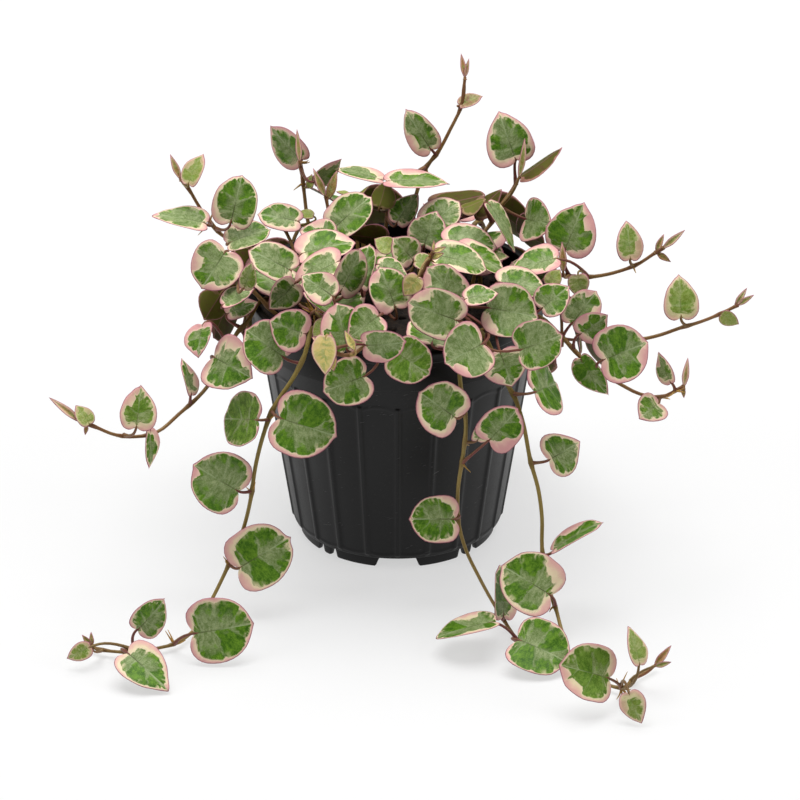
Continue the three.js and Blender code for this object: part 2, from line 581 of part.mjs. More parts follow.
function potSolid() {
  const ribs = Array.from({ length: POT.ribs }, (_, i) => ribSolid(((i + 0.5) * 360) / POT.ribs));
  const arc = (degrees) => 2 * POT.footRadius * Math.sin(THREE.MathUtils.degToRad(degrees / 2));
  const cuts = [];
  for (let quarter = 0; quarter < 360; quarter += 90) {
    for (const [at, span] of [[0, FOOT_NOTCHES.wide], [FOOT_NOTCHES.narrowAt, FOOT_NOTCHES.narrow],
      [-FOOT_NOTCHES.narrowAt, FOOT_NOTCHES.narrow]]) {
      cuts.push(blockSolid(POT.footRadius, CUT, arc(span), -1, FOOT_NOTCHES.top, quarter + at));
    }
  }
  for (let i = 0; i < DRAIN.count; i += 1) {
    const hole = new THREE.CylinderGeometry(DRAIN.radius, DRAIN.radius, CUT, DRAIN.segments);
    hole.rotateX(Math.PI / 2);
    const angle = (2 * Math.PI * i) / DRAIN.count;
    hole.translate(DRAIN.ring * Math.cos(angle), DRAIN.ring * Math.sin(angle), POT.floorTop - 2);
    cuts.push(geometrySolid(hole));
  }
  return fuse([wallSolid(), ...ribs]).subtract(wasm.Manifold.union(cuts));
}

// The mix fills the pot, a little higher in the middle, with a plain hole round each stem.
function soilSolid(stems) {
  const inside = (z) => (z > POT.bandBottom - 1
    ? mix(POT.bodyTopRadius, POT.bandRadius, (z - POT.bandBottom + 1) / (POT.height - POT.bandBottom + 1))
    : outerRadius(z)) - POT.wall - SOIL.gap;
  const floor = POT.floorTop + SOIL.gap;
  const apothem = Math.cos(Math.PI / SOIL.segments);
  const profile = [[0, floor], [inside(floor) * apothem, floor],
    [inside(POT.bandBottom - 1) * apothem, POT.bandBottom - 1], [inside(SOIL.top) * apothem, SOIL.top],
    [0, SOIL.top + SOIL.crown]].map(([r, z]) => new THREE.Vector2(r, z));
  const lathe = new THREE.LatheGeometry(profile, SOIL.segments);
  lathe.rotateX(Math.PI / 2);
  const holeRadius = STEM.rootRadius + STEM.clearance / Math.cos(Math.PI / STEM.sides);
  const holes = stems.map(({ root }) => {
    const foot = new THREE.Vector3(root.x, root.y, SOIL.top - STEM.sunk - 1);
    return rodSolid([foot, foot.clone().setZ(SOIL.top + 2 * STEM.rise)], holeRadius, holeRadius, STEM.sides);
  });
  return geometrySolid(lathe).subtract(wasm.Manifold.union(holes));
}

// ---------------------------------------------------------------- laying out the vines

function drawnVine({ name, root: [x, y], route, blades }) {
  const root = new THREE.Vector3(x, y, SOIL.top + STEM.rise);
  const foot = root.clone().setZ(SOIL.top - STEM.sunk);
  const path = [root, ...route.map((place) => spot(...place))];
  return { name, root, path: [foot, ...smooth(path, STEM.step)], drawn: blades };
}

// A back vine climbs over the rim, hangs down outside the wall and may run out along the surface.
function backVine([bearing, drop, run], index) {
  const { overRim, hang, land } = BACK;
  const angle = THREE.MathUtils.degToRad(bearing);
  const out = new THREE.Vector3(Math.cos(angle), Math.sin(angle), 0);
  const place = (radius, z) => out.clone().multiplyScalar(radius).setZ(z);
  const root = place(BACK.rootRadius, SOIL.top + STEM.rise);
  const foot = root.clone().setZ(SOIL.top - STEM.sunk);
  const path = [root, ...overRim.map(([radius, over]) => place(radius, POT.height + over))];
  for (let fall = hang.step; fall < Math.min(drop, POT.height - land.from[1]); fall += hang.step) {
    path.push(place(hang.radius + fall * hang.flare, POT.height - fall));
  }
  if (run > 0) {
    const lead = new THREE.Vector3(out.x * land.swing, 1, 0).normalize();
    const landing = place(land.radius, LYING_HEIGHT);
    path.push(place(...land.from), landing);
    for (let far = land.step; far <= run; far += land.step) {
      path.push(landing.clone().addScaledVector(lead, far)
        .addScaledVector(RIGHT, land.wave * Math.sin(far / land.waveLength)));
    }
  }
  return { name: `vine_back_${index + 1}`, root, path: [foot, ...smooth(path, STEM.step)], out, ruled: true };
}

// ---------------------------------------------------------------- laying the blades clear of all else

const CENTRE = 0.42;
const SPOKES = [0, 0.3, 0.55, 0.8, 1];
const RIM = [...HEART, ...HEART.slice(1, -1).reverse().map(([a, b]) => [a, -b])];
const PROBES = RIM.flatMap(([a, b], i) => {
  const [nextA, nextB] = RIM[(i + 1) % RIM.length];
  const between = [1 / 3, 2 / 3].map((t) => [mix(a, nextA, t), mix(b, nextB, t)]);
  return [...SPOKES.map((t) => [mix(CENTRE, a, t), b * t]), ...between];
});

const laid = { blades: [], rods: [] };

// Whether a point comes within room of the blade's middle surface.
function meets(frame, point, room) {
  const offset = point.clone().sub(frame.base);
  if (offset.lengthSq() > (1.1 * frame.length + frame.half + room) ** 2) return false;
  const a = offset.dot(frame.along);
  const b = offset.dot(frame.across);
  if (Math.abs(offset.dot(frame.normal) - relief(frame, a / frame.length, b)) > room) return false;
  const along = (a - CENTRE * frame.length) / (0.6 * frame.length + room);
  return along ** 2 + (b / (frame.half + room)) ** 2 < 1;
}

// Whether a point comes within room of the pot's wall, its soil or the surface below.
function meetsPot(point, room) {
  if (point.z < room) return true;
  if (point.z > POT.height + room) return false;
  const radius = Math.hypot(point.x, point.y);
  const inMouth = radius < POT.bandRadius - POT.wall - room && point.z > SOIL.top + SOIL.crown + room;
  return !inMouth && radius < outerRadius(point.z + room) + POT.ribProud + room;
}

function bladeIsClear(frame, vine) {
  const probes = PROBES.map(([a, b]) => bladePoint(frame, a, b));
  if (probes.some((point) => meetsPot(point, ROOM.blade + ROOM.floor))) return null;
  for (const { point, radius, vine: owner } of laid.rods) {
    const own = owner === vine;
    if (own && point.distanceTo(frame.base) < ROOM.base) continue;
    if (meets(frame, point, radius + ROOM.blade + (own ? ROOM.own : ROOM.gap))) return null;
  }
  for (const other of laid.blades) {
    const own = other.vine === vine;
    if (own && isBud(frame) && isBud(other.frame)) continue;
    const room = 2 * ROOM.blade + (own ? ROOM.own : ROOM.gap);
    if (other.probes.some((point) => meets(frame, point, room))) return null;
    if (probes.some((point) => meets(other.frame, point, room))) return null;
  }
  return probes;
}

// A petiole leaves the stem, bends and runs into the blade's base in line with its midrib.
function petiolePath(frame, start, bend) {
  const reach = start.distanceTo(frame.base);
  const hinge = frame.base.clone().addScaledVector(frame.along, -0.4 * reach)
    .addScaledVector(frame.normal, -0.12 * reach).add(bend);
  const at = (t) => start.clone().multiplyScalar((1 - t) ** 2)
    .addScaledVector(hinge, 2 * t * (1 - t)).addScaledVector(frame.base, t * t);
  const leave = hinge.clone().sub(start).normalize();
  const heel = start.clone().addScaledVector(leave, Math.min(PETIOLE.heel, 0.5 * reach));
  const root = start.clone().addScaledVector(leave, -PETIOLE.sunk);
  const path = reach > PETIOLE.straight || bend.lengthSq() > 0 ? [at(0.5), heel] : [heel];
  return { path, root, start, probes: alongPath([frame.base, ...path], 1.5) };
}

function petioleIsClear(petiole, vine) {
  const free = petiole.probes.filter((p) => p.distanceTo(petiole.start) > 2);
  return !free.some((point) => meetsPot(point, PETIOLE.half + 0.3)
    || laid.blades.some((other) => (
      meets(other.frame, point, PETIOLE.half + ROOM.blade + (other.vine === vine ? ROOM.own : ROOM.gap))))
    || laid.rods.some((rod) => (
      rod.vine !== vine && rod.point.distanceTo(point) < rod.radius + PETIOLE.half + ROOM.gap + 0.4)));
}

// The petioles that a blade could have: from the nearest node first, and straight ones before bent ones.
function petioleChoices(frame, vine) {
  const nearest = vine.nodes.reduce((best, node, i) => (
    node.distanceTo(frame.base) < vine.nodes[best].distanceTo(frame.base) ? i : best), 0);
  const starts = STARTS.map((offset) => vine.nodes[nearest + offset]).filter(Boolean);
  const bends = [new THREE.Vector3()];
  for (const size of BENDS.sizes) {
    for (let way = 0; way < BENDS.ways; way += 1) {
      const angle = (2 * Math.PI * way) / BENDS.ways;
      bends.push(RIGHT.clone().multiplyScalar(size * Math.cos(angle))
        .addScaledVector(PAGE_UP, size * Math.sin(angle)));
    }
  }
  return bends.flatMap((bend) => starts
    .filter((start) => bend.length() < 0.8 * start.distanceTo(frame.base))
    .map((start) => petiolePath(frame, start, bend)));
}

// Lays a blade at the first of its places where it and its petiole are clear.
function layBlade(vine, frames) {
  for (const frame of frames) {
    const probes = bladeIsClear(frame, vine);
    if (!probes) continue;
    const petiole = petioleChoices(frame, vine).find((choice) => petioleIsClear(choice, vine));
    if (!petiole) continue;
    laid.blades.push({ frame, probes, vine });
    petiole.probes.forEach((point) => laid.rods.push({ point, radius: PETIOLE.half, vine }));
    vine.pieces.push(leafSolid(frame, petiole));
    return true;
  }
  return false;
}

// Drawn blades are laid from the far ones to the near ones, each moved towards the eye until it is clear.
function layDrawnBlades(vines) {
  const places = vines.filter(({ drawn }) => drawn).flatMap((vine) => vine.drawn.map((drawn) => (
    { vine, drawn, near: drawnFrame(drawn, 0, 0).base.dot(TOWARDS) })));
  places.sort((p, q) => p.near - q.near);
  for (const { vine, drawn } of places) {
    const frames = SHIFTS.flatMap((shift) => TURNS.map((turn) => drawnFrame(drawn, shift, turn)));
    layBlade(vine, frames);
  }
}

// The places that a ruled blade tries, one after another, each moved further along the shift's direction.
function ruledFrames(base, along, face, direction, draw) {
  const length = mix(...RULED_LEAF.length, draw());
  return SHIFTS.map((shift) => bladeFrame(
    base.clone().addScaledVector(direction, shift), along, face, length, length * RULED_LEAF.breadth));
}

// Ruled blades stand singly or in pairs at the nodes of a back vine and face away from the pot.
function layRuledBlades(vine, draw) {
  const stride = Math.round(BACK.leafStep / STEM.step);
  const side = UP.clone().cross(vine.out);
  for (let i = 3; i < vine.path.length; i += stride) {
    const node = vine.path[i];
    const lying = node.z < 2 * STEM.rise;
    const first = draw() < 0.5 ? -1 : 1;
    const hands = draw() < BACK.pairs ? [first, -first] : [first];
    for (const hand of hands) {
      const sag = mix(-0.5, 0.9, draw());
      const roll = mix(-0.5, 0.5, draw());
      const along = side.clone().multiplyScalar(hand)
        .addScaledVector(lying ? vine.out : UP, lying ? 0.6 * sag : -sag).normalize();
      const face = (lying ? UP.clone().multiplyScalar(2) : vine.out.clone())
        .addScaledVector(UP, 0.35 + 0.6 * roll).addScaledVector(side, roll).normalize();
      const base = node.clone().addScaledVector(along, BACK.leafAway).addScaledVector(face, BACK.leafOff);
      layBlade(vine, ruledFrames(base, along, face, face, draw));
    }
  }
}

// Crown blades fill the back of the mound, over the soil and the rim, facing up and back.
function layCrownBlades(vine, draw) {
  for (let i = 0; i < BACK_CROWN.leaves; i += 1) {
    const swing = mix(-BACK_CROWN.swing, BACK_CROWN.swing, draw());
    const along = vine.out.clone().applyAxisAngle(UP, 1.4 * swing)
      .addScaledVector(UP, mix(-0.1, 0.45, draw())).normalize();
    const face = UP.clone().addScaledVector(vine.out, mix(0.2, 1.1, draw()));
    const base = vine.out.clone().multiplyScalar(mix(...BACK_CROWN.ring, draw()))
      .applyAxisAngle(UP, 0.22 * swing).setZ(POT.height + BACK_CROWN.height);
    layBlade(vine, ruledFrames(base, along, face, UP, draw));
  }
}

// Low blades all over the crown, each on the stem that comes nearest to it.
function layFill(vines, draw) {
  let left = FILL.blades;
  for (let i = 0; i < FILL.tries && left > 0; i += 1) {
    const radius = mix(...FILL.reach, Math.sqrt(draw()));
    const centre = new THREE.Vector3(radius, 0, mix(...FILL.height, draw()))
      .applyAxisAngle(UP, 2 * Math.PI * draw());
    const gap = (vine) => Math.min(...vine.nodes.map((node) => node.distanceTo(centre)));
    const vine = vines.reduce((best, other) => (gap(other) < gap(best) ? other : best));
    const along = RIGHT.clone().applyAxisAngle(UP, 2 * Math.PI * draw())
      .addScaledVector(UP, mix(-0.1, 0.4, draw())).normalize();
    const face = UP.clone().addScaledVector(TOWARDS, mix(0, 1.2, draw()));
    if (gap(vine) > FILL.stems) continue;
    const base = centre.addScaledVector(along, -0.4 * RULED_LEAF.length[0]);
    if (layBlade(vine, ruledFrames(base, along, face, UP.clone().multiplyScalar(FILL.lift), draw))) left -= 1;
  }
}

// ---------------------------------------------------------------- the finished part

const leafMaterial = () => new THREE.MeshStandardMaterial({ color: 0x6f9156, roughness: 0.45, metalness: 0 });
const potMaterial = new THREE.MeshStandardMaterial({ color: 0x232325, roughness: 0.5, metalness: 0 });
const soilMaterial = new THREE.MeshStandardMaterial({ color: 0x33261c, roughness: 1, metalness: 0 });

function build() {
  const vines = [...VINES.map(drawnVine), ...BACK.vines.map(backVine)];
  for (const vine of vines) {
    vine.pieces = [rodSolid(vine.path, STEM.rootRadius, STEM.tipRadius, STEM.sides)];
    vine.nodes = alongPath(vine.path.slice(2), 3);
    for (const point of smooth(vine.path.slice(1), 1.6)) {
      laid.rods.push({ point, radius: ROOM.stem, vine });
    }
  }
  layDrawnBlades(vines);
  layFill(vines, draws(FILL.seed));
  const draw = draws(BACK.seed);
  for (const vine of vines.filter(({ ruled }) => ruled)) {
    layCrownBlades(vine, draw);
    layRuledBlades(vine, draw);
  }
  const plant = new THREE.Group();
  plant.add(meshOf('pot', potSolid(), potMaterial));
  plant.add(meshOf('soil', soilSolid(vines), soilMaterial));
  for (const vine of vines) plant.add(meshOf(vine.name, fuse(vine.pieces), leafMaterial()));
  return plant;
}

export default build();
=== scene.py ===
# %% [markdown]
# # A string of hearts in its nursery pot
#
# The real object is a trailing plant: thin stems rooted in a black nursery pot, with small heart-shaped
# leaves in pairs and singly along them. The solid model already says where every stem and leaf is.
# This lesson gives each one its fine form and its finish, and leaves every place as it is.

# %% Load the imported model
import math

import bmesh
import bpy
import numpy as np
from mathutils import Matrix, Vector
from mathutils.kdtree import KDTree


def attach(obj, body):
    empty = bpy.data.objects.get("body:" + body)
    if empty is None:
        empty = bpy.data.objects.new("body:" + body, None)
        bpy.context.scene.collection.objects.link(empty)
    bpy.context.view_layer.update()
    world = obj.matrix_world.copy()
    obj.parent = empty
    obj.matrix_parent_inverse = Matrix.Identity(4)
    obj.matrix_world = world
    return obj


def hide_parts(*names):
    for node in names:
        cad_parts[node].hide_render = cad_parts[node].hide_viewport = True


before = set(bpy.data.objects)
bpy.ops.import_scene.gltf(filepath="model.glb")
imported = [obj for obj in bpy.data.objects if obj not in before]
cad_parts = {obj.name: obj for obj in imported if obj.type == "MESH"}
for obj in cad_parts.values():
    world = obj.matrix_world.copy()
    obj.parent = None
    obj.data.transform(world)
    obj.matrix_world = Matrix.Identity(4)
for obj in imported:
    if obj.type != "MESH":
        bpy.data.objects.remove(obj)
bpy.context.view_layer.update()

print("solid model:", len(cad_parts), "nodes")

# %% [markdown]
# ## Camera, floor and light
#
# The plant is looked at from 27 degrees above, from 2.5 metres away with a long lens, which keeps the
# sides of the pot nearly parallel. The same sight lines place the leaves later, so the camera's numbers
# come first. All sizes below are in millimetres, and one scale turns them into Blender's metres.

# %% The view
MM = 0.001
ELEVATION = math.radians(27.3)
EYE_DISTANCE = 2500.0
TARGET = np.array([0.9, 0.0, 49.55])
DRAWING_SIZE = 800          # the drawing that the leaves are laid out on is this many units square
UNIT = 0.3624               # and one unit is this long at the target
SENSOR_WIDTH = 36.0

UP = np.array([0.0, 0.0, 1.0])
RIGHT = np.array([1.0, 0.0, 0.0])
TOWARDS = np.array([0.0, -math.cos(ELEVATION), math.sin(ELEVATION)])
PAGE_UP = np.array([0.0, math.sin(ELEVATION), math.cos(ELEVATION)])
EYE = TARGET + TOWARDS * EYE_DISTANCE


def add_object(name, data):
    """A new object that shows the data."""
    thing = bpy.data.objects.new(name, data)
    bpy.context.scene.collection.objects.link(thing)
    return thing


eye_data = bpy.data.cameras.new("eye")
eye_data.sensor_width = SENSOR_WIDTH
eye_data.lens = SENSOR_WIDTH * EYE_DISTANCE / (DRAWING_SIZE * UNIT)
eye_data.clip_end = 100
eye = add_object("eye", eye_data)
eye.location = EYE * MM
eye.rotation_euler = (math.pi / 2 - ELEVATION, 0, 0)
bpy.context.scene.camera = eye
print("lens", round(eye_data.lens, 1), "mm")

# %% [markdown]
# Shader nodes are easier to read as sums. The class below wraps one socket and turns Python's operators
# into Math nodes, also when the number comes first, as in `1 - mask`. Its size is the value without its
# sign, and whole is the whole number at or below. A finish is a material in the making: one method adds
# any node, and a few short ones name the mixes that are used again and again.

# %% Sums of sockets
class Wire:
    """A socket of a finish, which adds Math nodes when it is used in a sum."""

    def __init__(self, finish, socket):
        self.finish, self.socket = finish, socket

    def _math(self, operation, first, second):
        return self.finish.node("ShaderNodeMath", {"operation": operation}, {0: first, 1: second})

    def __rsub__(self, other):
        return self._math("SUBTRACT", other, self)


SUMS = {"__add__": "ADD", "__radd__": "ADD", "__sub__": "SUBTRACT", "__mul__": "MULTIPLY",
        "__rmul__": "MULTIPLY", "__truediv__": "DIVIDE", "larger": "MAXIMUM", "size": "ABSOLUTE",
        "whole": "FLOOR", "sign": "SIGN"}
for name, operation in SUMS.items():
    setattr(Wire, name, lambda self, other=0, operation=operation: self._math(operation, self, other))
print(len(SUMS) + 1, "sums")

# %% Finishes
def paint(red, green, blue):
    """A colour given in the usual 0 to 255 steps, as the linear values that shaders use."""
    steps = [c / 255 for c in (red, green, blue)]
    return tuple(c / 12.92 if c <= 0.04045 else ((c + 0.055) / 1.055) ** 2.4 for c in steps)


class Finish:
    """A material with one Principled BSDF, built out of nodes."""

    def __init__(self, name, **values):
        self.material = bpy.data.materials.new(name)
        self.material.use_nodes = True
        self.tree = self.material.node_tree
        self.shader = self.tree.nodes["Principled BSDF"]
        for socket, value in values.items():
            self.shader.inputs[socket.replace("_", " ")].default_value = value

    def node(self, kind, settings, sockets, output=0):
        """Adds a node: its settings first, then values or links for its sockets."""
        node = self.tree.nodes.new(kind)
        for name, value in settings.items():
            setattr(node, name, value)
        for name, value in sockets.items():
            self.feed(node.inputs[name], value)
        return Wire(self, node.outputs[output])

    def feed(self, socket, value):
        if isinstance(value, Wire):
            self.tree.links.new(value.socket, socket)
        elif isinstance(value, tuple) and socket.type == "RGBA" and len(value) == 3:
            socket.default_value = (*value, 1.0)
        else:
            socket.default_value = value

    def attribute(self, name, output="Vector"):
        return self.node("ShaderNodeAttribute", {"attribute_name": name}, {}, output)

    def split(self, vector):
        return [self.node("ShaderNodeSeparateXYZ", {}, {0: vector}, i) for i in range(3)]

    def vector(self, x, y, z):
        return self.node("ShaderNodeCombineXYZ", {}, {0: x, 1: y, 2: z})

    def noise(self, vector, scale, detail=2.0, roughness=0.5):
        sockets = {"Vector": vector, "Scale": scale, "Detail": detail, "Roughness": roughness}
        return self.node("ShaderNodeTexNoise", {}, sockets)

    def step(self, value, low, high):
        """0 below low, 1 above high and smooth between them; low may be the larger one."""
        if low > high:
            return 1 - self.step(value, high, low)
        settings = {"interpolation_type": "SMOOTHSTEP"}
        return self.node("ShaderNodeMapRange", settings, {0: value, 1: low, 2: high})

    def mix(self, share, first, second):
        """A share of 0 gives the first colour and 1 the second."""
        return self.node("ShaderNodeMix", {"data_type": "RGBA"}, {0: share, 6: first, 7: second}, 2)

    def place_in_metres(self):
        """The three coordinates of a point in metres, and the point in millimetres."""
        x, y, z = self.split(self.node("ShaderNodeTexCoord", {}, {}, 3))
        return x, y, z, self.vector(x * 1000, y * 1000, z * 1000)

    def bump(self, height, distance, strength):
        sockets = {"Strength": strength, "Distance": distance, "Height": height}
        normal = self.node("ShaderNodeBump", {}, sockets)
        self.feed(self.shader.inputs["Normal"], normal)

    def colour(self, value):
        self.feed(self.shader.inputs["Base Color"], value)

    def rough(self, value):
        self.feed(self.shader.inputs["Roughness"], value)


print("finishes are ready to be made")

# %% [markdown]
# The floor is one pale sheet that runs on under the whole view. A wide soft lamp overhead gives the
# gentle shadows at the pot's foot, and two tall ones at the sides draw the light edges of the black
# plastic. The world adds an even, pale light from everywhere else.

# %% Floor and lamps
FLOOR_HALF = 6.0
FLOOR_GREY = (0.31, 0.31, 0.31)
LAMPS_AIM = np.array([0, 0, 0.05])
LAMPS = [
    # name, place in metres, size in metres, power in watts
    ("lamp_overhead", (-0.05, 0.45, 1.9), (1.9, 1.9), 56.0),
    ("lamp_left", (-1.5, -0.5, 0.8), (1.0, 1.3), 8.5),
    ("lamp_right", (1.5, -0.4, 0.8), (1.0, 1.3), 8.5),
]
WORLD_LIGHT = 0.09
FLOOR_GLOW = 0.58         # the sheet is lit from behind as well, which keeps it white under the plant

floor_mesh = bpy.data.meshes.new("floor")
corners = [(x * FLOOR_HALF, y * FLOOR_HALF, 0) for x, y in ((-1, -1), (1, -1), (1, 1), (-1, 1))]
floor_mesh.from_pydata(corners, [], [(0, 1, 2, 3)])
paper = Finish("floor_paper", Base_Color=(*FLOOR_GREY, 1), Roughness=0.9, Specular_IOR_Level=0.1,
               Emission_Color=(1, 1, 1, 1), Emission_Strength=FLOOR_GLOW)
floor_mesh.materials.append(paper.material)
floor = add_object("floor", floor_mesh)

for name, place, (wide, tall), power in LAMPS:
    lamp_data = bpy.data.lights.new(name, "AREA")
    lamp_data.shape = "RECTANGLE"
    lamp_data.size = wide
    lamp_data.size_y = tall
    lamp_data.energy = power
    lamp = add_object(name, lamp_data)
    lamp.location = place
    lamp.rotation_euler = Vector(LAMPS_AIM - np.array(place)).to_track_quat("-Z", "Y").to_euler()

world = bpy.data.worlds.new("studio")
world.use_nodes = True
sky = world.node_tree.nodes["Background"].inputs
sky["Color"].default_value, sky["Strength"].default_value = (1, 1, 1, 1), WORLD_LIGHT
bpy.context.scene.world = world
bpy.context.scene.view_settings.view_transform = "Standard"
print(len(LAMPS), "lamps")

# %% [markdown]
# ## Where the stems and leaves are
#
# The solid model laid its stems out on a drawing of the front: a place there is two drawing units and a
# depth in millimetres. The same table is repeated here, because the fine stems and leaves have to lie
# exactly where the solid ones are. The vines at the back and the leaves that fill the crown follow
# seeded rules instead.

# %% The drawn vines
LIES = 1000.0         # a depth that means: lying on the surface
LYING_HEIGHT = 2.4

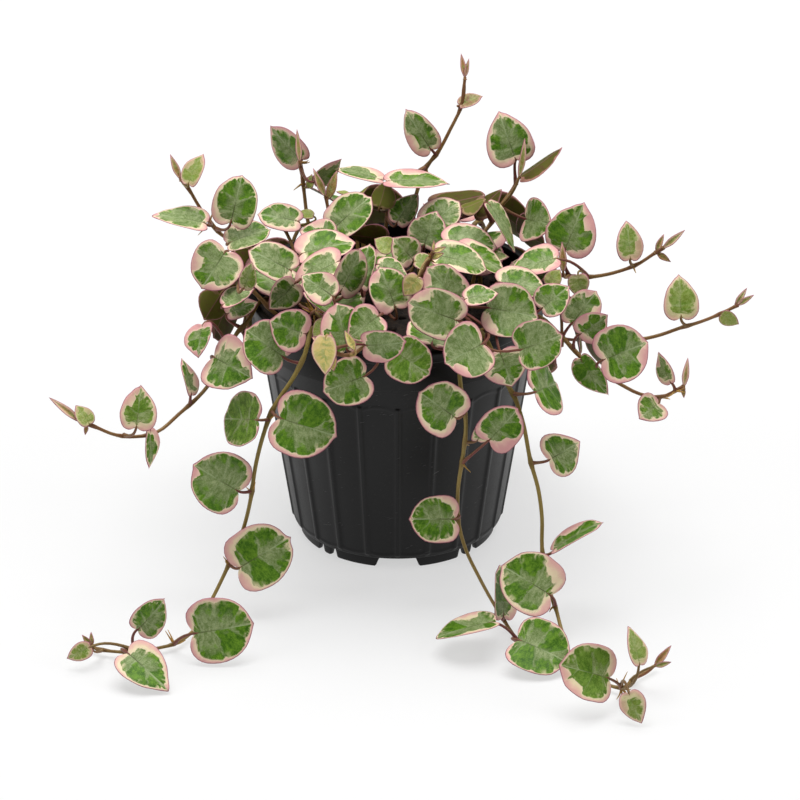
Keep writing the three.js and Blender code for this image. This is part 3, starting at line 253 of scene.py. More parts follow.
# Name, root, route of the stem, and blades. A blade is the place of its base, its tip, its lean towards
# the eye and its turn about its own length in degrees, and its breadth in lengths.
VINES = [
    ("vine_front_left_trail", (-26, -28),
     [(313, 328, -36), (309, 338, -44), (305, 354, -48.5), (296, 373, -51), (272, 411, -54),
      (263, 436, -55), (254, 475, -57), (252, 491, -58), (242, 533, -62), (229, 564, -66), (211, 601, -73),
      (190, 634, LIES), (174, 644, LIES), (153, 649, LIES), (127, 652, LIES), (103, 650, LIES),
      (92, 647, LIES)],
     [(283, 357, -49, 248, 330, 15, 10, 1.15), (280, 418, -59, 335, 436, 5, 0, 1.1),
      (257, 420, -57, 220, 418, -42, 8, 1.1), (238, 491, -61, 196, 466, 20, 0, 1.16),
      (239, 568, -69, 289, 538, 10, 0, 1.05), (195, 633, -100, 252, 624, 6, 20, 1.1),
      (138, 629, -104, 166, 601, 0, 35, 1.0), (128, 653, -114, 168, 685, 26, -25, 0.8),
      (90, 647, -108, 68, 658, 8, 0, 0.75), (92, 646, -107, 82, 635, 0, 0, 0.4),
      (92, 646, -107, 91, 632, 0, 0, 0.35)]),
    ("vine_front_middle_trail", (10, -26),
     [(456, 340, -45), (457, 348, -50), (459, 365, -54), (460, 380, -56), (466, 427, -57), (463, 456, -57),
      (458, 490, -57), (459, 525, -59), (466, 550, -62), (479, 577, -68), (495, 606, -77), (507, 625, LIES),
      (518, 641, LIES)],
     [(456, 418, -62, 422, 394, 28, 0, 1.12), (489, 440, -60, 517, 411, 18, 0, 1.05),
      (477, 440, -57, 491, 414, 10, 55, 1.1), (454, 519, -62, 411, 519, 18, 0, 1.05),
      (492, 622, -90, 436, 631, 5, 58, 0.95), (503, 615, -84, 505, 566, 0, 74, 1.0),
      (519, 640, -106, 567, 659, 18, -12, 1.1)]),
    ("vine_front_right_trail", (22, -30),
     [(478, 330, -38), (485, 337, -43), (493, 354, -47.5), (497, 370, -48), (504, 380, -49.5),
      (513, 394, -51), (522, 419, -54), (531, 463, -58), (538, 488, -61), (542, 518, -65), (542, 547, -69),
      (552, 598, -81), (555, 606, -84), (561, 628, -93), (570, 654, LIES), (590, 675, LIES),
      (608, 685, LIES), (621, 688, LIES), (635, 677, LIES), (656, 665, LIES)],
     [(535, 392, -54, 562, 381, -56, 0, 1.1), (549, 460, -60, 577, 443, 32, 0, 1.2),
      (556, 549, -72, 599, 518, 5, -76, 0.95), (550, 595, -84, 504, 565, 8, 0, 1.12),
      (608, 678, -137, 563, 664, 22, 15, 1.12), (639, 664, -140, 632, 627, 0, 55, 0.85),
      (629, 693, -146, 640, 722, 8, 15, 0.85), (655, 665, -126, 671, 646, 0, 0, 0.3),
      (655, 666, -127, 671, 662, 0, 0, 0.35)]),
    ("vine_left_long", (-28, 0),
     [(262, 301, -13), (256, 306, -18), (250, 318, -22), (237, 333, -27), (222, 362, -34), (207, 387, -40),
      (179, 414, -50), (157, 432, -56), (148, 435, -58), (116, 435, -62), (93, 426, -64), (79, 421, -65)],
     [(214, 357, -42, 250, 377, 28, 0, 1.2), (203, 325, -34, 196, 356, 20, 52, 1.25),
      (191, 394, -46, 186, 358, 0, 70, 1.0), (137, 427, -62, 142, 386, 0, 25, 0.9),
      (150, 430, -62, 153, 468, 0, -66, 0.8), (89, 424, -66, 77, 405, 0, 30, 0.9),
      (87, 425, -65, 85, 435, 0, 0, 0.45), (79, 421, -65, 50, 397, 0, 0, 0.22),
      (228, 314, -24, 257, 300, 0, -55, 0.9)]),
    ("vine_left_shoot", (-30, -12),
     [(272, 311, -23), (262, 300, -22), (252, 290, -20), (240, 275, -16), (232, 262, -12)],
     [(225, 252, -14, 203, 287, 20, 0, 1.15), (224, 305, -22, 253, 286, 0, -58, 1.0),
      (220, 295, -12, 203, 320, 10, 160, 1.1), (244, 288, -24, 254, 263, 0, 45, 0.9),
      (295, 283, -24, 271, 310, 0, -40, 0.95), (231, 262, -12, 224, 257, 0, 0, 0.5)]),
    ("vine_upper_left", (-30, 8),
     [(262, 256, 9), (250, 248, 10), (230, 239, 11), (222, 235, 12), (210, 222, 14), (200, 208, 16),
      (188, 188, 18), (180, 178, 19)],
     [(205, 224, 11, 154, 211, 0, 61, 0.95), (189, 184, 16, 201, 153, 0, -58, 0.9),
      (231, 222, 6, 242, 176, 5, 0, 0.93), (230, 243, 4, 269, 226, 0, -50, 1.0),
      (180, 178, 19, 170, 154, 0, 0, 0.28)]),
    ("vine_top_left", (-26, 26),
     [(308, 222, 36), (306, 209, 38), (305, 200, 39), (302, 175, 41), (300, 162, 42)],
     [(302, 160, 45, 268, 128, 2, -40, 0.9), (300, 162, 40, 297, 129, 0, 0, 0.2),
      (309, 188, 40, 312, 174, 0, 0, 0.6), (315, 182, 40, 344, 162, 0, 72, 0.9)]),
    ("vine_back_left_shoot", (-18, 16),
     [(333, 238, 22), (329, 215, 25), (326, 197, 28)],
     [(325, 196, 28, 313, 168, 0, 0, 0.26), (328, 199, 28, 337, 170, 0, 0, 0.32),
      (335, 228, 18, 369, 195, 5, -45, 0.95), (333, 239, 14, 300, 229, 0, 45, 1.1)]),
    ("vine_top", (8, 26),
     [(415, 200, 42), (420, 182, 47), (426, 167, 50), (436, 155, 51), (451, 128, 54), (461, 107, 56),
      (465, 77, 58)],
     [(431, 149, 50, 404, 110, 5, -20, 0.72), (460, 105, 56, 482, 94, 0, -48, 0.9),
      (465, 77, 58, 461, 53, 0, 0, 0.25), (465, 77, 58, 469, 58, 0, 0, 0.25),
      (388, 182, 40, 450, 178, 0, -81, 0.85)]),
    ("vine_upper_right", (30, 20),
     [(480, 238, 18), (492, 222, 23), (500, 207, 27), (512, 190, 31), (516, 184, 32)],
     [(516, 160, 32, 498, 112, 5, -10, 0.95), (519, 177, 27, 526, 138, 0, 0, 0.18),
      (522, 177, 30, 565, 152, 0, 107, 0.9), (526, 219, 22, 549, 225, 55, 0, 1.1),
      (489, 205, 16, 520, 249, 0, -68, 0.75)]),
    ("vine_right_upper_arm", (34, 2),
     [(540, 272, 1), (560, 275, -1), (588, 277, -4), (620, 271, -6), (640, 263, -7), (652, 255, -8),
      (663, 248, -8)],
     [(630, 259, -8, 628, 221, 0, 25, 0.8), (565, 250, -2, 584, 203, 5, 0, 1.0),
      (563, 272, -6, 562, 242, 0, 0, 0.28), (578, 275, -10, 580, 298, 0, 10, 0.95),
      (556, 259, -6, 507, 269, 0, 66, 0.95), (656, 251, -8, 664, 234, 0, 0, 0.35),
      (657, 253, -8, 671, 262, 0, 0, 0.4), (663, 248, -8, 685, 230, 0, 0, 0.25)]),
    ("vine_right_arm", (36, -6),
     [(548, 293, -10), (570, 305, -15), (590, 320, -20), (612, 332, -25), (640, 339, -30), (660, 335, -31),
      (680, 328, -32), (700, 322, -33), (720, 314, -34), (738, 305, -34)],
     [(681, 317, -34, 680, 275, 0, 12, 0.85), (722, 314, -37, 738, 325, 0, 30, 0.9),
      (737, 305, -34, 754, 295, 0, 0, 0.3), (735, 306, -34, 747, 288, 0, 0, 0.3)]),
    ("vine_right_lower", (30, -18),
     [(527, 314, -26), (540, 317, -30), (562, 337, -36), (585, 361, -42), (600, 372, -45), (620, 384, -48),
      (640, 394, -50), (660, 397, -52), (683, 387, -54)],
     [(603, 360, -52, 646, 343, 10, 0, 1.2), (581, 359, -44, 605, 397, 0, 50, 0.85),
      (580, 334, -42, 607, 317, 18, 20, 1.0), (572, 323, -36, 597, 292, 0, 25, 0.9),
      (659, 403, -54, 640, 417, 32, 10, 1.2), (671, 382, -54, 656, 354, 0, -56, 0.85),
      (684, 386, -54, 688, 358, 0, 0, 0.25), (683, 388, -54, 684, 398, 0, 0, 0.45)]),
    ("vine_front_shoot", (-2, -37),
     [(384, 335, -47), (375, 338, -54), (362, 348, -59), (350, 355, -62), (338, 354, -63), (331, 350, -63)],
     [(334, 353, -63, 312, 337, 0, 0, 0.4), (333, 350, -63, 330, 332, 0, 0, 0.35),
      (355, 350, -61, 345, 331, 0, 0, 0.4), (326, 337, -65, 323, 374, 0, 35, 0.8),
      (331, 355, -65, 333, 371, 0, 20, 0.7), (366, 345, -56, 405, 345, 8, 38, 1.0)]),
    ("vine_middle_shoot", (8, -16),
     [(415, 292, -24), (419, 280, -26), (427, 265, -26), (433, 252, -26)],
     [(433, 252, -26, 446, 247, 0, 0, 0.4), (433, 252, -26, 434, 240, 0, 0, 0.3),
      (430, 258, -26, 444, 253, 0, 0, 0.45), (418, 277, -30, 404, 296, 0, 0, 0.9),
      (458, 302, -28, 427, 268, 0, 0, 0.9), (438, 256, -9, 487, 265, 0, -66, 1.0)]),
    ("crown_left_back", (-34, 18),
     [(290, 240, 22), (284, 228, 26)],
     [(298, 222, 30, 258, 212, 0, 35, 0.8), (313, 216, 32, 296, 212, 0, 50, 0.9)]),
    ("crown_left_front", (-20, -22),
     [(322, 322, -26), (314, 312, -28)],
     [(306, 334, -48, 270, 322, 8, 0, 1.2), (291, 271, -12, 251, 249, 8, 15, 0.9),
      (331, 313, -34, 306, 290, 0, 50, 1.1), (333, 297, -32, 303, 275, 0, 20, 0.95),
      (327, 322, -44, 312, 336, 0, 40, 1.0)]),
    ("crown_front", (-8, -30),
     [(360, 338, -42), (356, 328, -46)],
     [(347, 349, -50, 337, 304, 0, 0, 0.95), (379, 316, -50, 349, 337, 10, 0, 1.1),
      (396, 352, -58, 428, 374, 12, 0, 1.15), (365, 376, -60, 325, 391, 10, 0, 1.1)]),
    ("crown_centre", (-8, 2),
     [(372, 296, -2), (366, 280, -4)],
     [(341, 291, -22, 363, 251, 0, 30, 0.9), (361, 287, -14, 366, 244, 0, -52, 1.0),
      (339, 262, -8, 293, 283, 0, 64, 1.0), (302, 254, 0, 354, 238, 0, -68, 1.0),
      (413, 260, -6, 394, 238, 20, 20, 1.1), (391, 250, 4, 375, 238, 0, 30, 1.1),
      (395, 307, -34, 381, 267, 0, 0, 0.98), (378, 265, -14, 410, 276, 0, -68, 1.0),
      (415, 262, -8, 440, 263, 0, -55, 0.9)]),
    ("crown_back_left", (-14, 30),
     [(356, 228, 34), (354, 214, 36)],
     [(352, 198, 44, 371, 188, 0, 110, 1.0), (350, 197, 42, 337, 190, 0, 70, 1.0),
      (380, 180, 52, 336, 165, 0, 68, 0.8), (386, 240, 24, 350, 231, 0, 130, 0.95)]),
    ("crown_back", (-2, 36),
     [(386, 226, 40), (388, 208, 44)],
     [(380, 207, 44, 388, 182, 0, 140, 1.1), (397, 223, 34, 416, 192, 0, -35, 0.95)]),
    ("crown_back_right", (16, 34),
     [(434, 236, 34), (432, 222, 35)],
     [(424, 246, 18, 436, 211, 5, 0, 1.15), (428, 228, 30, 458, 200, 0, -15, 1.0),
      (434, 205, 38, 486, 200, 0, 128, 0.9), (462, 210, 34, 487, 202, 0, 122, 1.0),
      (474, 214, 34, 504, 192, 0, 140, 0.95)]),
    ("crown_right", (26, 9),
     [(476, 268, 10), (478, 254, 11)],
     [(446, 242, 14, 497, 243, 0, -66, 1.0), (460, 251, 6, 506, 268, 0, -74, 1.0),
      (482, 258, 4, 509, 254, 0, -58, 0.9)]),
    ("crown_middle_right", (14, -8),
     [(446, 318, -20), (450, 306, -24)],
     [(458, 321, -44, 408, 303, 0, 12, 0.9), (482, 344, -54, 448, 362, 32, 0, 1.2),
      (465, 300, -34, 497, 291, 0, -50, 1.0), (488, 308, -38, 537, 316, 5, 0, 1.1)]),
    ("crown_right_front", (22, -20),
     [(492, 326, -30), (500, 314, -33)],
     [(499, 283, -16, 545, 286, 0, -60, 0.95), (545, 272, -10, 502, 284, 0, 60, 0.95),
      (520, 350, -50, 560, 336, 10, 0, 1.1), (500, 352, -50, 512, 386, 0, -15, 1.3),
      (541, 309, -30, 568, 286, 0, -15, 1.0), (548, 285, -24, 560, 270, 0, 0, 0.9)]),
]
print(len(VINES), "drawn vines with", sum(len(vine[3]) for vine in VINES), "blades")

# %% The rules of the back and the crown
POT_HEIGHT = 95.0
SOIL_TOP = 84.0
STEM_STEP, STEM_RISE, STEM_SUNK = 12, 3, 14

BACK_SEED = 11
BACK_ROOT = 43
BACK_VINES = [(22, 46, 0), (58, 64, 0), (80, 92, 68), (106, 88, 62), (128, 52, 0), (148, 52, 0)]
OVER_RIM = [(49, 1), (55, 4), (61, -3)]
HANG_RADIUS, HANG_FLARE, HANG_STEP = 63, 0.05, 18
LAND_FROM, LAND_RADIUS, LAND_STEP = (69, 9), 76, 17
LAND_SWING, LAND_WAVE, LAND_WAVELENGTH = 0.35, 3, 11
LEAF_STEP, LEAF_PAIRS, LEAF_AWAY, LEAF_OFF = 24, 0.25, 3.2, 1.8
RULED_LENGTH, RULED_BREADTH = (18, 22), 1.05
CROWN_LEAVES, CROWN_RING, CROWN_HEIGHT, CROWN_SWING = 3, (30, 54), 5, 1.1
FILL_SEED, FILL_TRIES, FILL_BLADES = 5, 900, 32
FILL_REACH, FILL_HEIGHT, FILL_STEMS, FILL_LIFT = (8, 47), (92, 104), 14, 0.6
FILL_RISE, FILL_FACE, CROWN_RISE, CROWN_FACE = (-0.1, 0.4), (0, 1.2), (-0.1, 0.45), (0.2, 1.1)
CROWN_TWIST, CROWN_SPREAD, LEAF_SAG, LEAF_ROLL = 1.4, 0.22, (-0.5, 0.9), (-0.5, 0.5)

SHIFTS = [0, 1.2, 2.4, -1.2, 3.6, 4.8, -2.4, 6, 7.2, 8.4, 9.6, 10.8, 12]
TURNS = [0, 14, -14]
STARTS = [0, -2, 2, -4, 4, -7, 7]
BEND_SIZES, BEND_WAYS = (3.5, 7, 11), 8
BLADE_THICKNESS, BLADE_CUP, BLADE_DROOP = 0.7, 0.34, 0.12
YOUNG_LENGTH, BUD_BREADTH = 14, 0.5
PETIOLE_HALF, PETIOLE_STRAIGHT, PETIOLE_HEEL = 0.55, 12, 1.9
HINGE_BACK, HINGE_UNDER, MOST_BEND = 0.4, 0.12, 0.8
WIDEST_OLD, WIDEST_YOUNG, WIDEST_BUD = 0.16, 0.38, 0.36


# %% Places, directions and smooth curves
def unit(vector):
    return vector / np.linalg.norm(vector)


def mix(low, high, share):
    return low + (high - low) * share


def draws(seed):
    """An endless row of even draws between 0 and 1, the same on every computer."""
    state = seed
    while True:
        state = (state * 1664525 + 1013904223) % 4294967296
        yield state / 4294967296


def turned(vector, angle):
    """The vector turned about the pot's axis."""
    c, s = math.cos(angle), math.sin(angle)
    return np.array([c * vector[0] - s * vector[1], s * vector[0] + c * vector[1], vector[2]])


def spot(across, down, depth):
    """The point of a sight line that has the given depth, or that lies on the surface."""
    half = DRAWING_SIZE / 2
    sight = TARGET + RIGHT * ((across - half) * UNIT) + PAGE_UP * ((half - down) * UNIT) - EYE
    if depth == LIES:
        return EYE + sight * ((LYING_HEIGHT - EYE[2]) / sight[2])
    return EYE + sight * ((depth - EYE[1]) / sight[1])


def smooth(points, step=None, per_gap=None):
    """A smooth curve through the points, sampled by step, or per_gap times between two points."""
    points = np.array(points, float)
    gaps = np.linalg.norm(np.diff(points, axis=0), axis=1)
    pace = np.diff(points, axis=0) / gaps[:, None]
    slopes = np.empty_like(points)
    slopes[0], slopes[-1] = pace[0], pace[-1]
    for i in range(1, len(gaps)):
        slopes[i] = (pace[i - 1] * gaps[i] + pace[i] * gaps[i - 1]) / (gaps[i - 1] + gaps[i])
    samples = [points[0]]
    for i, gap in enumerate(gaps):
        count = per_gap or max(1, math.floor(gap / step + 0.5))
        for t in np.arange(1, count + 1) / count:
            samples.append(points[i] * ((1 + 2 * t) * (1 - t) ** 2) + slopes[i] * (gap * t * (1 - t) ** 2)
                           + points[i + 1] * (t * t * (3 - 2 * t))
                           + slopes[i + 1] * (gap * t * t * (t - 1)))
    return np.array(samples)


def along_path(path, step):
    """Points on the straight stretches of a path, about every step millimetres."""
    points = []
    for first, second in zip(path, path[1:]):
        count = max(1, math.floor(np.linalg.norm(second - first) / step + 0.5))
        points += [mix(first, second, k / count) for k in range(1, count + 1)]
    return points


# %% [markdown]
# In the solid model a blade tries a few places, each a little further out, and takes the first that is
# clear of everything else. Trying again here would be slow and could end elsewhere, so each blade asks
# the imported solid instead: its place is the one whose corners the solid really has. A leaf that found
# no room in the solid has none here either.

# %% Blades and vines
class Blade:
    """A blade's place: its base, its three directions, its length and its half breadth."""

    def __init__(self, base, along, face, length, breadth):
        self.base, self.along = base, along
        self.normal = unit(face - along * np.dot(face, along))
        self.across = np.cross(self.normal, along)
        self.length, self.half = length, breadth / 2
        self.bud = 2 * self.half < length * BUD_BREADTH
        self.young = length < YOUNG_LENGTH

    def relief(self, a, y):
        """How far the middle surface stands off its plane, y millimetres from the midrib."""
        return self.length * (BLADE_CUP * (y / self.length) ** 2 - BLADE_DROOP * a * np.abs(a))

    def corners(self):
        """Six corners that the solid blade has: its tip and its widest places, on both faces."""
        widest = WIDEST_BUD if self.bud else WIDEST_YOUNG if self.young else WIDEST_OLD
        for a, b in ((1, 0), (widest, 1), (widest, -1)):
            y = b * self.half
            for lift in (BLADE_THICKNESS / 2, -BLADE_THICKNESS / 2):
                yield (self.base + self.along * (a * self.length) + self.across * y
                       + self.normal * (self.relief(a, y) + lift))


class Vine:
    """One leafy stem: its path in the solid, the nodes that leaves grow from, and its leaves."""

    def __init__(self, name, points, blades=(), out=None):
        self.name, self.blades, self.out = name, blades, out
        foot = np.array([*points[0][:2], SOIL_TOP - STEM_SUNK])
        self.path = [foot, *smooth(points, STEM_STEP)]
        self.nodes = along_path(self.path[2:], 3)
        self.line = np.vstack([foot, smooth(points, 2.5)])
        self.leaves = []
        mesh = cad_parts[name].data
        self.corners = KDTree(len(mesh.vertices))
        for i, vertex in enumerate(mesh.vertices):
            self.corners.insert(vertex.co, i)
        self.corners.balance()

    def has(self, points, least=2, within=2e-5):
        return sum(self.corners.find(Vector(p * MM))[2] < within for p in points) >= least

    def gap(self, point):
        return min(np.linalg.norm(node - point) for node in self.nodes)


# %% Petioles and leaves, found in the solids
def petiole_choices(blade, vine):
    """The bends and starts that a petiole may have, in the order in which the solid tries them."""
    nearest = int(np.argmin([np.linalg.norm(node - blade.base) for node in vine.nodes]))
    starts = [vine.nodes[nearest + i] for i in STARTS if 0 <= nearest + i < len(vine.nodes)]
    bends = [np.zeros(3)]
    for size in BEND_SIZES:
        for way in range(BEND_WAYS):
            angle = 2 * math.pi * way / BEND_WAYS
            bends.append(RIGHT * (size * math.cos(angle)) + PAGE_UP * (size * math.sin(angle)))
    for bend in bends:
        for start in starts:
            reach = np.linalg.norm(start - blade.base)
            if np.linalg.norm(bend) < MOST_BEND * reach:
                hinge = blade.base - blade.along * (HINGE_BACK * reach)
                hinge = hinge - blade.normal * (HINGE_UNDER * reach) + bend
                yield start, hinge, reach > PETIOLE_STRAIGHT or bend.any()


def petiole_ring(blade, start, hinge, bent):
    """The four corners of the solid petiole's first ring after the blade."""
    reach = np.linalg.norm(start - blade.base)
    heel = start + unit(hinge - start) * min(PETIOLE_HEEL, 0.5 * reach)
    ring = start * 0.25 + hinge * 0.5 + blade.base * 0.25 if bent else heel
    ahead = unit(ring - blade.base)
    side = unit(blade.across - ahead * np.dot(blade.across, ahead))
    other = np.cross(side, ahead)
    return [ring + side * x + other * y for x in (-PETIOLE_HALF, PETIOLE_HALF)
            for y in (-PETIOLE_HALF, PETIOLE_HALF)]


def grow(vine, blades):
    """Adds the leaf whose blade is in the solid, if one of the blades is."""
    for blade in blades:
        if not vine.has(blade.corners()):
            continue
        choices = list(petiole_choices(blade, vine))
        found = (c for c in choices if vine.has(petiole_ring(blade, *c)))
        vine.leaves.append((blade, next(found, choices[0])))
        return True
    return False


def drawn_blade(drawn, shift, turn_more):
    across, down, depth, tip_across, tip_down, lean, turn, breadth = drawn
    lean, turn = math.radians(lean), math.radians(turn + turn_more)
    run = np.array([tip_across - across, down - tip_down], float)
    length = np.linalg.norm(run) * UNIT / math.cos(lean)
    run = unit(run)
    flat = RIGHT * run[0] + PAGE_UP * run[1]
    along = flat * math.cos(lean) + TOWARDS * math.sin(lean)
    opened = TOWARDS * math.cos(lean) - flat * math.sin(lean)
    face = opened * math.cos(turn) + np.cross(along, opened) * math.sin(turn)
    return Blade(spot(across, down, depth) + TOWARDS * shift, along, face, length, length * breadth)


def ruled_blades(base, along, face, direction, draw):
    length = mix(*RULED_LENGTH, draw())
    return [Blade(base + direction * shift, along, face, length, length * RULED_BREADTH)
            for shift in SHIFTS]


# %% Growing the drawn vines
vines = [Vine(name, [np.array([*root, SOIL_TOP + STEM_RISE]), *(spot(*place) for place in route)], blades)
         for name, root, route, blades in VINES]
missed = 0
for vine in vines:
    for drawn in vine.blades:
        missed += not grow(vine, (drawn_blade(drawn, s, t) for s in SHIFTS for t in TURNS))
print(sum(len(vine.leaves) for vine in vines), "drawn leaves found,", missed, "missed")


# %% Growing the back vines
def back_vine(bearing, drop, run, index):
    """Over the rim, down outside the wall and perhaps out along the surface."""
    angle = math.radians(bearing)
    out = np.array([math.cos(angle), math.sin(angle), 0])

    def place(radius, z):
        return out * radius + UP * z

    points = [place(BACK_ROOT, SOIL_TOP + STEM_RISE)]
    points += [place(radius, POT_HEIGHT + over) for radius, over in OVER_RIM]
    for fall in range(HANG_STEP, math.ceil(min(drop, POT_HEIGHT - LAND_FROM[1])), HANG_STEP):
        points.append(place(HANG_RADIUS + fall * HANG_FLARE, POT_HEIGHT - fall))
    if run:
        lead = unit(np.array([out[0] * LAND_SWING, 1, 0]))
        landing = place(LAND_RADIUS, LYING_HEIGHT)
        points += [place(*LAND_FROM), landing]
        for far in range(LAND_STEP, run + 1, LAND_STEP):
            points.append(landing + lead * far + RIGHT * (LAND_WAVE * math.sin(far / LAND_WAVELENGTH)))
    return Vine(f"vine_back_{index + 1}", points, out=out)


back = [back_vine(*sizes, index) for index, sizes in enumerate(BACK_VINES)]
vines += back
print(len(vines), "vines")

# %% Leaves that fill the crown
draw = draws(FILL_SEED).__next__
left = FILL_BLADES
for _ in range(FILL_TRIES):
    if not left:
        break
    radius = mix(*FILL_REACH, math.sqrt(draw()))
    centre = np.array([radius, 0, mix(*FILL_HEIGHT, draw())])
    centre = turned(centre, 2 * math.pi * draw())
    nearest = min(vines, key=lambda vine: vine.gap(centre))
    along = turned(RIGHT, 2 * math.pi * draw())
    along = unit(along + UP * mix(*FILL_RISE, draw()))
    face = UP + TOWARDS * mix(*FILL_FACE, draw())
    if nearest.gap(centre) > FILL_STEMS:
        continue
    base = centre - along * (0.4 * RULED_LENGTH[0])
    left -= grow(nearest, ruled_blades(base, along, face, UP * FILL_LIFT, draw))
print(FILL_BLADES - left, "leaves fill the crown")

# %% Leaves of the back vines
draw = draws(BACK_SEED).__next__
for vine in back:
    for _ in range(CROWN_LEAVES):
        swing = mix(-CROWN_SWING, CROWN_SWING, draw())
        along = unit(turned(vine.out, CROWN_TWIST * swing) + UP * mix(*CROWN_RISE, draw()))
        face = UP + vine.out * mix(*CROWN_FACE, draw())
        base = turned(vine.out * mix(*CROWN_RING, draw()), CROWN_SPREAD * swing)
        base = base + UP * (POT_HEIGHT + CROWN_HEIGHT)
        grow(vine, ruled_blades(base, along, face, UP, draw))
    side = np.cross(UP, vine.out)
    for node in vine.path[3::math.floor(LEAF_STEP / STEM_STEP + 0.5)]:
        lying = node[2] < 2 * STEM_RISE
        first = -1 if draw() < 0.5 else 1
        for hand in (first, -first) if draw() < LEAF_PAIRS else (first,):
            sag = mix(*LEAF_SAG, draw())
            roll = mix(*LEAF_ROLL, draw())
            along = unit(side * hand + (vine.out * (0.6 * sag) if lying else UP * -sag))
            face = unit((UP * 2 if lying else vine.out) + UP * (0.35 + 0.6 * roll) + side * roll)
            base = node + along * LEAF_AWAY + face * LEAF_OFF
            grow(vine, ruled_blades(base, along, face, face, draw))
print(sum(len(vine.leaves) for vine in vines), "leaves in all")

# %% [markdown]
# ## The colours of a leaf
#
# This plant's leaves are thick, waxy hearts, and their colours follow the veins. Silver-green runs out
# from the midrib in fingers, mottled with a stronger green. Outside it the leaf has no green at all: it
# is cream there, turns pink further out, and ends in a thin purple line. A few sectors between two veins
# lose their green nearly down to the midrib. So each point of a leaf is told how far along the rib its
# vein starts, how far out it lies and how many millimetres it is from the margin, and noise that is
# drawn in those coordinates has the shape of the real pattern.

# %% What a point of a leaf knows
GREEN_DARK, GREEN_LIGHT = paint(54, 94, 16), paint(108, 148, 42)
SILVER_DARK, SILVER_LIGHT = paint(94, 118, 56), paint(160, 172, 124)
CREAM, PINK = paint(234, 216, 180), paint(230, 186, 172)
BLUSH, MARGIN = paint(218, 160, 158), paint(158, 92, 110)
RIB_DARK, RIB_PALE = paint(78, 84, 50), paint(166, 182, 136)
UNDER_OLIVE, UNDER_PURPLE, UNDER_RIM = paint(88, 82, 28), paint(92, 58, 40), paint(184, 130, 118)
SECTORS = 4.6            # the side veins part each half of a leaf into about this many sectors

leaf = Finish("leaf", IOR=1.42, Specular_IOR_Level=0.22)
place = leaf.attribute("place")
_, off, seed = leaf.split(place)
vein, out, edge = leaf.split(leaf.attribute("vein"))
silver, under, band = leaf.split(leaf.attribute("nature"))
youth = leaf.attribute("youth", "Alpha")
tint = leaf.attribute("youth", "Color")
reach = out.size()
side = seed + out.sign() * 4
grain = leaf.noise(place, 2.4, 2.0, 0.6)
blotch = leaf.noise(place, 0.45, 2.0)
stroke = leaf.noise(leaf.vector(vein * 34, reach * 5, side), 1.0, 2.0)
finger = leaf.noise(leaf.vector(vein * 15, reach * 1.2, side), 1.0, 1.0)
slow = leaf.noise(leaf.vector(vein * 1.6, out * 1.1, seed + 31), 1.0, 0.0)

# Every sector between two side veins draws its own chances, and so does every leaf.
turn = vein * SECTORS + (finger - 0.5) * (reach * 0.5 + 0.1) + (blotch - 0.5) * 0.35
turn = turn + seed * 0.37
key = leaf.vector(turn.whole(), out.sign(), seed.whole())
chances = leaf.node("ShaderNodeTexWhiteNoise", {"noise_dimensions": "3D"}, {"Vector": key}, 1)
frosty, cut, _ = leaf.split(chances)
rosy = leaf.node("ShaderNodeTexWhiteNoise", {"noise_dimensions": "1D"}, {"W": seed})
from_vein = 0.5 - (turn - turn.whole() - 0.5).size()
print("a leaf is drawn from", len(leaf.tree.nodes), "nodes of places and chances")

# %% [markdown]
# Frost lies along the midrib and beside the side veins, and gives way to green further out. The midrib
# is dark at its root and pale towards the tip.

# %% Silver and green
streaks = (finger - 0.5) * 0.4 + (stroke - 0.5) * 0.25 + (blotch - 0.5) * 0.8
beside = leaf.step(from_vein, 0.2, 0.02) * 0.25
greener = reach * 0.85 + (frosty - 0.5) * 0.8 + streaks - beside - silver * 0.9 + 0.35
shade = stroke * 0.35 + grain * 0.35 + blotch * 0.3
green = leaf.mix(leaf.step(shade, 0.36, 0.66), GREEN_DARK, GREEN_LIGHT)
frost = leaf.mix(leaf.step(shade, 0.34, 0.68), SILVER_DARK, SILVER_LIGHT)
blade = leaf.mix(leaf.step(greener, 0.38, 0.06), green, frost)
blade = leaf.mix(leaf.step(from_vein, 0.06, 0.01) * (1.1 - reach) * 0.28, blade, RIB_PALE)
midrib = leaf.step(off.size(), 0.3, 0.1)
blade = leaf.mix(midrib * leaf.step(vein, 0.8, 0.45) * (0.45 + 0.4 * rosy), blade, RIB_DARK)
blade = leaf.mix(midrib * leaf.step(vein, 0.5, 0.85) * 0.6, blade, RIB_PALE)
print(len(leaf.tree.nodes), "nodes with silver and green")

# %% [markdown]
# The pale band is widest at the lobes and thin at the tip, and cream streaks run from it into the green.
# The place of a point between the margin and the green says how pink it is.

# %% The pale band
width = band * (1.15 - 0.85 * leaf.step(vein, 0.12, 0.7)) * (0.4 + 1.2 * slow)
width = width * (1 + (rosy - 0.5) * out * 0.9)
width = width + (finger - 0.5) * 1.3 + leaf.step(from_vein, 0.2, 0.0) * 0.7
missing = leaf.step(cut + band * 0.05, 0.95, 0.97) * leaf.step(reach, 0.2, 0.55)
missing = missing * leaf.step(from_vein, 0.0, 0.2)
width = (width + missing * 3.4).larger(0.4 + 0.1 * band)
feather = leaf.step(edge - width, 2.4, 0.2) * leaf.step(finger * 0.6 + stroke * 0.4, 0.5, 0.68)
blade = leaf.mix(feather * (0.35 + 0.5 * rosy), blade, CREAM)
outward = edge / width + (blotch - 0.5) * 0.5 + (rosy - 0.5) * 0.5
bare = leaf.mix(leaf.step(outward, 0.05, 0.55), BLUSH, PINK)
bare = leaf.mix(leaf.step(outward, 0.45, 0.95), bare, CREAM)
line = leaf.step(edge, 0.34, 0.12)
top = leaf.mix(leaf.step(edge - width, -0.16, 0.2), bare, blade)
top = leaf.mix(line * 0.9, top, MARGIN)
